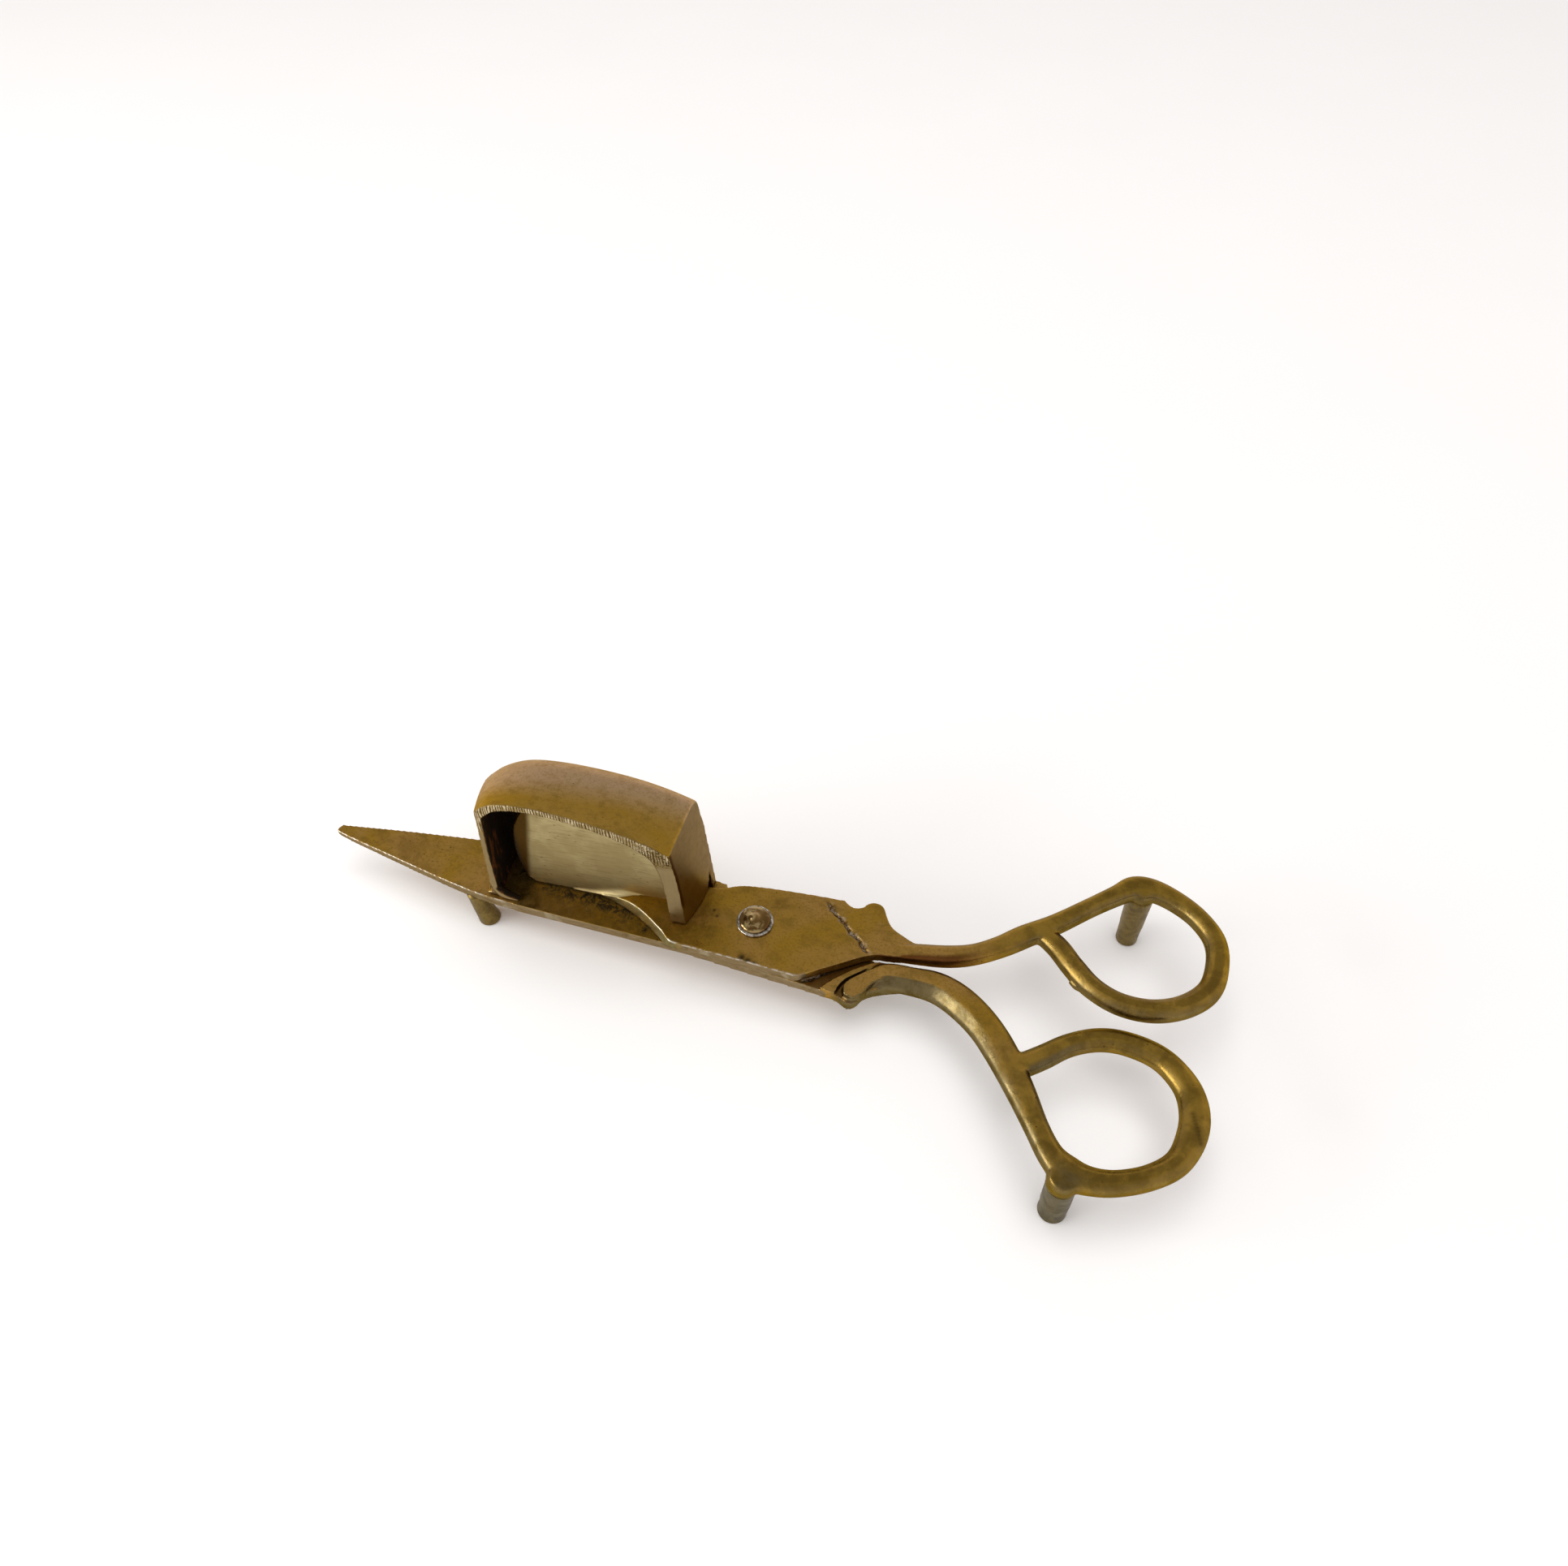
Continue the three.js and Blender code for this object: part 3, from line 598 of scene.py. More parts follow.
def foot(name, x, y, top, r_top, r_low, seed, flat_y=None, lean=0.0):
    """Tapered peg with a rounded lower edge; flat_y cuts its front off, lean moves its top towards -X."""
    edge = 0.5
    profile = [[0, 0], [r_low - edge, 0]]
    for deg in (15, 30, 45, 60, 75, 90):
        a = math.radians(deg)
        profile.append([r_low - edge + edge * math.sin(a), edge - edge * math.cos(a)])
    steps = 24
    for k in range(1, steps + 1):
        profile.append([r_low + (r_top - r_low) * k / steps, edge + (top - edge) * k / steps])
    profile.append([0, top])
    obj = mesh_object(name, *turned(profile, 72, x, y))
    if flat_y is not None:
        in_front = [(x - 9, flat_y - 10), (x + 9, flat_y - 10), (x + 9, flat_y), (x - 9, flat_y)]
        cut(obj, *plate(in_front, -5, 30))
    co = coords(obj)
    dent = 0.10 * np.clip(0.5 + 0.5 * lumps(co, 3.2, seed), 0.05, 1) * ramp(co[:, 2], 0.05, 1.0)
    radial = co[:, :2] - np.array([x, y])
    co[:, :2] -= radial / (np.linalg.norm(radial, axis=1) + 1e-6)[:, None] * dent[:, None]
    co[:, 0] -= lean * co[:, 2] / top
    set_coords(obj, co)
    return obj


def pivot_rivet():
    """Rivet with a hammered head; the nib is the point left in the middle of it."""
    seat = UPPER_TOP + SEAT + COLLAR_T + SEAT
    low = LOWER_LOW - SEAT - BURR_T - SEAT
    profile = [[0, low - 0.9], [1.5, low - 0.9], [2.3, low - 0.6], [2.7, low], [RIVET_R, low],
               [RIVET_R, seat], [HEAD_R * 0.985, seat], [HEAD_R, seat + 0.08]]
    steps = 30
    for k in range(1, steps + 1):
        a = k / steps * math.pi / 2
        r = HEAD_R * math.cos(a)
        nib = 0.42 * math.exp(-(r / 0.85) ** 4)
        profile.append([r if k < steps else 0, seat + 0.15 + (HEAD_H - 0.55) * math.sin(a) ** 0.9 + nib])
    obj = mesh_object("hammered_rivet", *turned(profile, 96))
    co, no = coords(obj), normals(obj)
    blows = [[-1.5, 0.9, 0.9, 0.10], [1.5, -0.4, 0.8, 0.09], [-0.8, -1.5, 0.8, 0.10],
             [0.9, 1.9, 0.8, 0.08], [0.6, -1.8, 0.7, 0.07], [-2.0, -0.5, 0.8, 0.08]]
    head = co[:, 2] > seat + 0.12
    for x, y, r, d in blows:
        away = np.hypot(co[:, 0] - x, co[:, 1] - y)
        dip = d * np.exp(-(away / (0.55 * r)) ** 2)
        co[head] -= no[head] * dip[head, None]
    set_coords(obj, co)
    return obj


def washer(name, outer, low, high, seed):
    bevel = outer - WASHER_EDGE
    profile = [[BORE_R, low], [bevel, low], [outer, low + WASHER_EDGE], [outer, high - WASHER_EDGE],
               [bevel, high], [outer - 0.45, high], [BORE_R, high]]
    obj = mesh_object(name, *ring_solid(profile, 96))
    co = coords(obj)
    rim = np.hypot(co[:, 0], co[:, 1])
    worn = 1 - 0.035 * (0.5 + 0.5 * lumps(co, 1.6, seed)) * ramp(rim, outer - 0.6, outer - 0.1)
    co[:, :2] *= worn[:, None]
    set_coords(obj, co)
    return obj


# ---- materials --------------------------------------------------------------------------------------
class Nodes:
    """Short names for the shader nodes of one material."""

    def __init__(self, name):
        self.material = bpy.data.materials.new(name)
        self.material.use_nodes = True
        self.tree = self.material.node_tree
        self.tree.nodes.clear()
        self.output = self.tree.nodes.new("ShaderNodeOutputMaterial")
        self.shader = self.tree.nodes.new("ShaderNodeBsdfPrincipled")
        self.tree.links.new(self.shader.outputs[0], self.output.inputs[0])
        place = self.tree.nodes.new("ShaderNodeTexCoord")
        scale = self.tree.nodes.new("ShaderNodeMapping")
        scale.inputs["Scale"].default_value = (1000, 1000, 1000)
        self.tree.links.new(place.outputs["Object"], scale.inputs["Vector"])
        self.place = scale.outputs[0]

    def link(self, source, target):
        if isinstance(source, bpy.types.NodeSocket):
            self.tree.links.new(source, target)
        else:
            target.default_value = source

    def stretched(self, x, y, z, turn=0.0):
        node = self.tree.nodes.new("ShaderNodeMapping")
        node.inputs["Scale"].default_value = (x, y, z)
        node.inputs["Rotation"].default_value = (0, 0, turn)
        self.link(self.place, node.inputs["Vector"])
        return node.outputs[0]

    def noise(self, scale, detail=4.0, rough=0.55, place=None, distortion=0.0):
        node = self.tree.nodes.new("ShaderNodeTexNoise")
        node.inputs["Scale"].default_value = scale
        node.inputs["Detail"].default_value = detail
        node.inputs["Roughness"].default_value = rough
        node.inputs["Distortion"].default_value = distortion
        self.link(place or self.place, node.inputs["Vector"])
        return node.outputs["Fac"]

    def spots(self, scale, radius, place=None):
        """Round specks: 1 inside, 0 outside."""
        node = self.tree.nodes.new("ShaderNodeTexVoronoi")
        node.inputs["Scale"].default_value = scale
        self.link(place or self.place, node.inputs["Vector"])
        return self.steps(node.outputs["Distance"], radius, radius * 0.4)

    def steps(self, value, low, high):
        node = self.tree.nodes.new("ShaderNodeMapRange")
        node.interpolation_type = "SMOOTHSTEP"
        self.link(value, node.inputs["Value"])
        node.inputs["From Min"].default_value = min(low, high)
        node.inputs["From Max"].default_value = max(low, high)
        node.inputs["To Min"].default_value = 0 if low < high else 1
        node.inputs["To Max"].default_value = 1 if low < high else 0
        return node.outputs[0]

    def math(self, kind, a, b):
        """The result is kept between 0 and 1."""
        node = self.tree.nodes.new("ShaderNodeMath")
        node.operation = kind
        node.use_clamp = True
        self.link(a, node.inputs[0])
        self.link(b, node.inputs[1])
        return node.outputs[0]

    def times(self, a, b):
        return self.math("MULTIPLY", a, b)

    def plus(self, a, b):
        return self.math("ADD", a, b)

    def minus(self, a, b):
        return self.math("SUBTRACT", a, b)

    def blend(self, factor, a, b, kind="MIX"):
        node = self.tree.nodes.new("ShaderNodeMix")
        node.data_type = "RGBA"
        node.blend_type = kind
        self.link(factor, node.inputs[0])
        self.link(a if isinstance(a, bpy.types.NodeSocket) else (*a, 1), node.inputs[6])
        self.link(b if isinstance(b, bpy.types.NodeSocket) else (*b, 1), node.inputs[7])
        return node.outputs[2]

    def wave(self, scale, distortion, place=None):
        node = self.tree.nodes.new("ShaderNodeTexWave")
        node.inputs["Scale"].default_value = scale
        node.inputs["Distortion"].default_value = distortion
        node.inputs["Detail"].default_value = 3
        node.inputs["Detail Scale"].default_value = 1.5
        self.link(place or self.place, node.inputs["Vector"])
        return node.outputs["Fac"]

    def mask(self, name):
        node = self.tree.nodes.new("ShaderNodeAttribute")
        node.attribute_name = name
        return node.outputs["Fac"]

    def bump(self, height, strength, distance, normal=None):
        node = self.tree.nodes.new("ShaderNodeBump")
        node.inputs["Strength"].default_value = strength
        node.inputs["Distance"].default_value = distance * MM
        self.link(height, node.inputs["Height"])
        if normal is not None:
            self.link(normal, node.inputs["Normal"])
        return node.outputs[0]

    def surface(self, colour, rough, metallic, normal):
        """Gives the shader its finished values and returns the material."""
        values = {"Base Color": colour, "Roughness": rough, "Metallic": metallic, "Normal": normal}
        for name, value in values.items():
            self.link(value, self.shader.inputs[name])
        return self.material

    def tint(self, *colour):
        self.shader.inputs["Specular Tint"].default_value = (*colour, 1)


GOLD = (0.385, 0.222, 0.026)
OLIVE = (0.240, 0.145, 0.024)
TAN = (0.420, 0.245, 0.062)
UMBER = (0.085, 0.040, 0.012)
PALE = (0.270, 0.210, 0.110)
SOOT = (0.022, 0.014, 0.008)


def aged_brass():
    """Cast brass under a brown patina: blotches, specks, polished edges and grime in the hollows, with
    painted light: a painted shadow under the upper plate, painted sheen on the bows' sides, a painted
    reflection on rear faces and a painted highlight on the burrs.
    """
    n = Nodes("aged_arm_brass")
    broad = n.noise(0.055, 3, 0.55, distortion=0.6)
    cloud = n.noise(0.34, 8, 0.72, n.stretched(0.8, 1.2, 1), distortion=0.2)
    grain = n.noise(2.2, 6, 0.7)
    colour = n.blend(n.steps(broad, 0.38, 0.62), GOLD, TAN)
    colour = n.blend(n.times(n.steps(cloud, 0.46, 0.64), 0.6), colour, OLIVE)
    colour = n.blend(n.times(n.steps(cloud, 0.42, 0.30), 0.5), colour, (0.44, 0.25, 0.05))
    colour = n.blend(n.times(n.steps(grain, 0.50, 0.62), 0.65), colour, OLIVE)
    film = n.steps(n.noise(0.11, 7, 0.68, distortion=0.3), 0.54, 0.68)
    colour = n.blend(n.times(film, 0.35), colour, (0.15, 0.085, 0.018))
    pits = n.times(n.spots(0.62, 0.13), n.steps(n.noise(0.12, 2), 0.5, 0.62))
    touched = n.steps(n.noise(0.26, 6, 0.62, distortion=0.4), 0.42, 0.62)
    handled = n.blend(touched, (0.330, 0.205, 0.032), (0.190, 0.120, 0.020))
    colour = n.blend(n.times(n.mask("bow"), 0.85), colour, handled)
    worn_top = n.times(n.mask("crest"), n.steps(n.noise(0.20, 6, 0.7), 0.38, 0.56))
    colour = n.blend(n.times(worn_top, 0.5), colour, (0.135, 0.080, 0.014))
    # painted sheen: the bows' side faces get a darker grey-olive so the light's sheen on them reads cream,
    # not gold
    flank = n.blend(n.steps(n.noise(0.35, 5, 0.6), 0.42, 0.66), (0.155, 0.120, 0.054), (0.098, 0.070, 0.024))
    colour = n.blend(n.mask("flank"), colour, flank)
    # painted reflection: rear-facing faces of the arms tinted mauve-grey, the colour they reflect at a
    # grazing angle
    colour = n.blend(n.times(n.mask("rear"), 0.7), colour, (0.26, 0.195, 0.120))
    colour = n.blend(pits, colour, UMBER)
    colour = n.blend(n.mask("mark"), colour, (0.045, 0.028, 0.010))
    # umber in the hollows: patina, and on the box arm also the painted shadow under the upper plate
    colour = n.blend(n.times(n.mask("hollow"), 0.75), colour, UMBER)
    worn = n.times(n.mask("edge"), n.steps(n.noise(0.9, 4, 0.6), 0.32, 0.6))
    colour = n.blend(n.times(worn, 0.45), colour, PALE)
    honed = n.blend(n.steps(n.noise(0.7, 4, 0.6), 0.35, 0.65), (0.25, 0.21, 0.10), (0.17, 0.14, 0.06))
    colour = n.blend(n.mask("blade"), colour, honed)
    strokes = n.noise(1.0, 4, 0.6, n.stretched(0.5, 0.5, 3.5))
    filed = n.blend(n.steps(strokes, 0.35, 0.65), (0.215, 0.158, 0.085), (0.285, 0.215, 0.125))
    filed = n.blend(n.times(n.steps(n.noise(0.35, 5, 0.65), 0.54, 0.66), 0.6), filed, (0.13, 0.092, 0.038))
    filed = n.blend(n.times(n.steps(n.noise(0.16, 4, 0.6), 0.58, 0.66), 0.8), filed, (0.36, 0.31, 0.21))
    colour = n.blend(n.mask("ground"), colour, filed)
    # painted highlight: the filed burr along the front edges is painted near white, brighter than bare metal
    bright = n.times(n.mask("burr"), n.steps(n.noise(0.7, 4, 0.6), 0.42, 0.55))
    colour = n.blend(bright, colour, (0.90, 0.87, 0.80))
    crud = n.steps(n.noise(0.55, 8, 0.75, distortion=0.6), 0.42, 0.60)
    sooty = n.times(n.mask("soot"), crud)
    colour = n.blend(n.times(n.mask("soot"), 0.6), colour, (0.31, 0.19, 0.028))
    colour = n.blend(sooty, colour, SOOT)
    chalk = n.times(n.mask("groove"), n.steps(n.noise(1.3, 4, 0.7), 0.44, 0.58))
    colour = n.blend(n.times(n.mask("groove"), 0.8), colour, UMBER)
    colour = n.blend(n.times(chalk, 0.7), colour, (0.34, 0.30, 0.24))
    colour = n.blend(n.times(n.mask("shade"), 0.85), colour, (0.085, 0.022, 0.006))
    rough = n.steps(n.noise(0.5, 5, 0.6), 0.3, 0.75)
    rough = n.plus(n.times(rough, 0.22), 0.30)
    rough = n.minus(rough, n.times(worn, 0.12))
    rough = n.minus(rough, n.times(n.math("MAXIMUM", n.mask("flank"), n.mask("bow")), 0.08))
    rough = n.plus(rough, n.times(sooty, 0.35))
    metallic = n.minus(0.97, n.times(n.math("MAXIMUM", n.times(sooty, 0.3), chalk), 0.75))
    n.tint(0.62, 0.52, 0.36)
    lines = n.noise(1.0, 3, 0.6, n.stretched(0.6, 9, 9, 0.05))
    relief = n.bump(n.minus(n.noise(0.7, 5, 0.6), pits), 0.5, 0.10)
    relief = n.bump(grain, 0.35, 0.03, relief)
    relief = n.bump(lines, 0.5, 0.012, relief)
    return n.surface(colour, rough, metallic, relief)


def box_brass():
    """The box: polished roof with lengthwise scratches, a filed rim and a black inside, with painted light: a
    painted reflection at the back of the roof and on the end wall, and a painted shadow beside the strip.
    """
    n = Nodes("box_brass")
    broad = n.noise(0.09, 3, 0.5, n.stretched(0.6, 1.4, 1.0), 0.5)
    cloud = n.noise(0.55, 7, 0.72, n.stretched(0.8, 1.1, 1.0))
    colour = n.blend(n.steps(broad, 0.4, 0.62), GOLD, (0.41, 0.245, 0.045))
    # painted reflection: towards the back the roof turns mauve-grey, the colour it reflects at a grazing
    # angle; the olive cloud and the scratches are weaker there
    colour = n.blend(n.times(n.mask("rise"), 0.75), colour, (0.545, 0.375, 0.235))
    veil = n.minus(0.55, n.times(n.mask("rise"), 0.25))
    colour = n.blend(n.times(n.steps(cloud, 0.46, 0.64), veil), colour, OLIVE)
    streak = n.noise(1.6, 7, 0.75, n.stretched(0.30, 1.2, 0.9, 0.04))
    patch = n.steps(n.noise(0.16, 3), 0.46, 0.60)
    streak = n.times(n.steps(streak, 0.52, 0.60), n.times(patch, 0.6))
    streak = n.times(streak, n.minus(1.0, n.mask("rise")))
    colour = n.blend(streak, colour, (0.19, 0.125, 0.02))
    colour = n.blend(n.times(n.steps(n.noise(2.4, 7, 0.75), 0.5, 0.64), 0.45), colour, OLIVE)
    # painted reflection on the end wall: golden below, where it mirrors the plate, mauve-grey above, where it
    # mirrors the pale background
    end_wall = n.blend(n.mask("high"), (0.175, 0.110, 0.030), (0.185, 0.132, 0.072))
    colour = n.blend(n.times(n.mask("end"), 0.9), colour, end_wall)
    specks = n.spots(0.75, 0.09)
    colour = n.blend(n.times(specks, n.steps(n.noise(0.2, 2), 0.5, 0.6)), colour, UMBER)
    worn = n.times(n.mask("edge"), n.steps(n.noise(0.9, 4, 0.6), 0.3, 0.55))
    colour = n.blend(n.times(worn, 0.7), colour, PALE)
    marks = n.wave(0.62, 5.0, n.stretched(1.0, 0.15, 0.25, 0.10))
    filed = n.plus(n.steps(marks, 0.12, 0.50), n.times(n.steps(n.noise(0.30, 5, 0.7), 0.48, 0.64), 0.6))
    rim = n.mask("rim")
    bare = n.blend(n.steps(n.noise(0.5, 4, 0.6), 0.4, 0.6), (0.30, 0.235, 0.12), (0.60, 0.51, 0.33))
    colour = n.blend(n.times(rim, 0.9), colour, n.blend(filed, (0.06, 0.035, 0.012), bare))
    grind = n.noise(1.2, 4, 0.6, n.stretched(1.5, 1, 0.3))
    colour = n.blend(n.mask("strip"), colour, n.blend(grind, (0.220, 0.160, 0.076), (0.285, 0.218, 0.112)))
    # painted shadow: a dark red-brown line in the gap between the mouth's strip and the end wall
    colour = n.blend(n.times(n.mask("seam"), 0.85), colour, (0.065, 0.022, 0.008))
    gritty = n.times(n.steps(n.noise(2.2, 4, 0.7), 0.50, 0.58), n.mask("crumbly"))
    colour = n.blend(gritty, colour, (0.07, 0.045, 0.015))
    flaked = n.steps(n.noise(0.3, 6, 0.7, n.stretched(1.5, 1.5, 0.5)), 0.50, 0.62)
    inside = n.mask("inside")
    colour = n.blend(inside, colour, n.blend(flaked, SOOT, (0.17, 0.055, 0.014)))
    rough = n.plus(n.times(n.steps(cloud, 0.3, 0.7), 0.18), 0.27)
    rough = n.plus(rough, n.times(inside, 0.3))
    n.tint(0.72, 0.60, 0.44)
    calm = n.minus(1.0, n.mask("end"))
    lines = n.times(n.noise(1.0, 3, 0.6, n.stretched(0.35, 8, 8, -0.04)), calm)
    relief = n.bump(n.times(n.noise(0.5, 3, 0.5), calm), 0.25, 0.08)
    relief = n.bump(n.times(n.noise(3.0, 4, 0.6), calm), 0.35, 0.02, relief)
    relief = n.bump(lines, 0.5, 0.015, relief)
    relief = n.bump(n.times(filed, rim), 0.8, 0.12, relief)
    crumbs = n.times(n.noise(2.2, 4, 0.7), n.mask("crumbly"))
    relief = n.bump(crumbs, 1.0, 0.25, relief)
    return n.surface(colour, rough, n.minus(0.97, n.times(inside, 0.3)), relief)


def brushed_sheet():
    """The sweeping plate: pale brushed brass with a heat-brown edge and a painted reflection of the blade low
    on its right.
    """
    n = Nodes("brushed_sheet")
    fine = n.noise(1.0, 5, 0.75, n.stretched(0.22, 1, 3.2, 0))
    wide = n.noise(0.16, 3, 0.5, n.stretched(1.0, 1, 0.8), 0.3)
    colour = n.blend(n.steps(wide, 0.36, 0.64), (0.45, 0.37, 0.185), (0.34, 0.265, 0.120))
    colour = n.blend(n.times(n.steps(fine, 0.48, 0.66), 0.6), colour, (0.22, 0.165, 0.07))
    # painted reflection: the sheet's lower right is tinted golden, as it mirrors the blade in front of it
    colour = n.blend(n.mask("low"), colour, (0.36, 0.265, 0.105))
    colour = n.blend(n.mask("stain"), colour, (0.060, 0.026, 0.001))
    colour = n.blend(n.mask("smoke"), colour, SOOT)
    specks = n.times(n.spots(1.1, 0.20, n.stretched(0.5, 1, 1.1)), n.steps(n.noise(0.3, 2), 0.45, 0.6))
    colour = n.blend(n.times(specks, 0.7), colour, UMBER)
    colour = n.blend(n.times(n.mask("edge"), 0.6), colour, (0.42, 0.35, 0.18))
    n.tint(0.85, 0.76, 0.55)
    rough = n.plus(n.times(n.steps(wide, 0.3, 0.7), 0.12), 0.38)
    return n.surface(colour, rough, 0.88, n.bump(fine, 0.6, 0.03))


def dull_brass():
    """The feet: grey-olive turned brass, handled little; the box arm's foot is painted darker as shade."""
    n = Nodes("dull_foot_brass")
    cloud = n.noise(0.5, 5, 0.65, distortion=0.6)
    colour = n.blend(n.steps(cloud, 0.38, 0.64), (0.200, 0.138, 0.038), (0.135, 0.092, 0.026))
    colour = n.blend(n.times(n.steps(n.noise(2.2, 4), 0.55, 0.7), 0.5), colour, (0.09, 0.06, 0.03))
    # painted shade: the box arm's foot, under its ring, gets a darker copy of this brass
    colour = n.blend(n.mask("dim"), colour, (0.60, 0.66, 0.68), "MULTIPLY")
    rings = n.noise(1.0, 3, 0.6, n.stretched(0.4, 0.4, 5))
    relief = n.bump(rings, 0.5, 0.03, n.bump(n.noise(1.1, 5, 0.6), 0.6, 0.12))
    return n.surface(colour, n.plus(n.times(cloud, 0.25), 0.33), 0.9, relief)


def rivet_brass():
    n = Nodes("hammered_rivet_brass")
    cloud = n.noise(0.45, 3, 0.5, distortion=0.9)
    colour = n.blend(n.steps(cloud, 0.42, 0.56), (0.42, 0.31, 0.14), (0.14, 0.075, 0.020))
    # painted highlight: a lighter spot on the crown of the rivet's head, round its nib
    colour = n.blend(n.times(n.mask("crown"), 0.5), colour, (0.50, 0.32, 0.12))
    return n.surface(colour, n.plus(n.times(cloud, 0.2), 0.08), 0.95, n.bump(n.noise(1.2, 3, 0.5), 0.3, 0.08))


def pale_metal():
    n = Nodes("worn_white_metal")
    cloud = n.noise(1.6, 5, 0.7, distortion=0.5)
    colour = n.blend(n.steps(cloud, 0.40, 0.60), (0.62, 0.60, 0.56), (0.20, 0.17, 0.11))
    return n.surface(colour, n.plus(n.times(cloud, 0.3), 0.2), 0.9, n.bump(cloud, 0.7, 0.08))


# ---- pieces with their masks and materials -----------------------------------------------------------
def spot(x, y, middle_x, middle_y, radius):
    """1 at a place seen from above, fading out around it."""
    return np.exp(-(np.hypot(x - middle_x, y - middle_y) / radius) ** 2)


def add_box_arm(brass):
    arm, groove = box_arm()
    x, y, z = coords(arm).T
    _, ny, nz = normals(arm).T
    edge, hollow = edge_wear(arm)
    ground = ramp(-ny, 0.62, 0.85) * ((z < 10.4) & (x < 16))
    in_box = ramp(x, -49.6, -47.5) * ramp(-x, 11.5, 13.5) * (nz > 0.6)
    in_box *= 0.25 + 0.75 * ramp(y + 0.14 * (x + 30), -6.6, -2.6)
    by_hook = ramp(y - hook_edge_y(x), -2.6, -1.0) * ramp(-x, 14.5, 17) * ramp(x, -30, -26) * (nz > 0.6)
    # painted shadow: the lower plate's top between the groove and the leaf is darkened where the upper plate
    # shades it; it goes into the hollow mask
    dusk = ramp(-z, -10.7, -10.3) * ramp(x, 10.5, 13) * ramp(-x, -24, -21) * (nz > 0.3)
    bow = ramp(x, 38, 56)
    # painted sheen on the bow's side faces, and on the ring just over its foot
    flank = ramp(-nz, -0.94, -0.72) * ramp(x, 16, 19) * (1 - 0.65 * ramp(x, 56, 64))
    over_foot = spot(x, y, 61.6, -33.4, 3.2) * ramp(-ny, -0.3, 0.4)
    flank = np.maximum(flank, 0.9 * over_foot)
    crest = ramp(nz, 0.90, 0.98) * ramp(x, 52, 60) * (1 - 0.6 * ramp(x, 76, 81))
    mark = np.zeros(len(x))
    for t in np.linspace(0, 1, 9):
        mark = np.maximum(mark, 0.55 * spot(x, y, 79.7 + 1.7 * t, -16.6 - 4.6 * t, 0.45) * (z > 13.5))
    # painted highlight along the burr of the nose's front edge
    burr = edge * ramp(-ny, 0.1, 0.4) * ramp(-x, 40, 52) * (z > 9.7)
    paint(arm, edge=edge, hollow=np.maximum(hollow, dusk), ground=ground, soot=np.maximum(in_box, by_hook),
          groove=groove, bow=bow, flank=flank, mark=mark, burr=burr, crest=crest)
    finished(arm, "box_side", "box_arm", brass)


def add_pusher_arm(brass):
    pusher, groove = pusher_arm()
    x, y, z = coords(pusher).T
    nx, ny, nz = normals(pusher).T
    edge, hollow = edge_wear(pusher)
    blade = ramp(-ny, 0.3, 0.55) * ramp(-x, 11, 13) * (y < 0)
    ground = ramp(-ny, 0.5, 0.8) * (x < 12) * (z < 12.8) * (1 - blade)
    smoke = ramp(-x, 17, 24) * (y > 0) * 0.8
    shade = ramp(-ny, 0.25, 0.6) * ramp(x, 21, 25) * ramp(-x, -44, -36)
    bow = ramp(x, 34, 52)
    # painted sheen on the far bow's front side faces
    flank = ramp(-nz, -0.90, -0.60) * ramp(x, 44, 50) * ramp(-ny - 0.3 * nx, -0.1, 0.3) * 0.7
    crest = ramp(nz, 0.80, 0.95) * ramp(x, 50, 58) * (0.9 + 1.1 * ramp(-y, -16, -11))
    # painted reflection on the rear-facing faces of the arm
    rear = ramp(ny, 0.25, 0.6) * ramp(x, 20, 26) * (nz > -0.3)
    mark = np.zeros(len(x))
    for pit_x, pit_y, r in [
        [-8.1, 0.4, 0.35], [-7.2, -0.7, 0.3], [0.0, -7.9, 0.7], [1.2, -8.3, 0.8], [2.4, -8.5, 0.5],
    ]:
        mark = np.maximum(mark, spot(x, y, pit_x, pit_y, r) * (z > 12))
    # painted highlight along the burr of the blade's front edge
    burr = edge * ramp(-ny, 0.1, 0.4) * ramp(-x, -11, -9) * (z > 12.2)
    paint(pusher, edge=edge, hollow=hollow, ground=ground, blade=blade, soot=smoke, groove=groove,
          shade=shade, bow=bow, flank=flank, rear=rear, mark=mark, burr=burr, crest=crest)
    finished(pusher, "pusher_side", "pusher_arm", brass)


def add_wick_box():
    shell = wick_box()
    co, no = coords(shell), normals(shell)
    x, y, z = co.T
    nx, ny, _ = no.T
    edge, _ = edge_wear(shell)
    depth = y - mouth_y(x)
    rim = ramp(-depth, -0.35, -0.15) * ramp(-ny, 0.5, 0.8)
    strip = rim * ramp(-z, -31.5, -29.5)
    inward = ((np.array([-31.0, 0.5, 20.0]) - co) * no).sum(1)
    inside = ramp(inward, -1.0, 1.0) * (1 - rim)
    # painted reflection towards the back of the roof
    rise = ramp(y - 0.16 * (x + 33), -2.6, 3.0) * (1 - 0.75 * ramp(ny, 0.45, 0.85))
    crumbly = rim * ramp(x, -21, -17) * ramp(z, 29, 31)
    end = ramp(nx, 0.8, 0.93) * (1 - inside)
    # painted reflection: the end wall's upper part, where it mirrors the background
    high = ramp(z + 1.1 * y, 20, 25)
    # painted shadow in the gap beside the strip
    seam = end * ramp(-depth, -1.0, -0.5) * ramp(z, 17, 19) * (1 - rim)
    edge = edge * (1 - inside) * (1 - 0.8 * ramp(x, -17, -14) * ramp(z, 28, 31))
    paint(shell, end=end, edge=edge, rim=rim * (1 - strip), strip=strip, inside=inside, rise=rise,
          crumbly=crumbly, high=high, seam=seam)
    finished(shell, "box_side", "wick_box", box_brass())


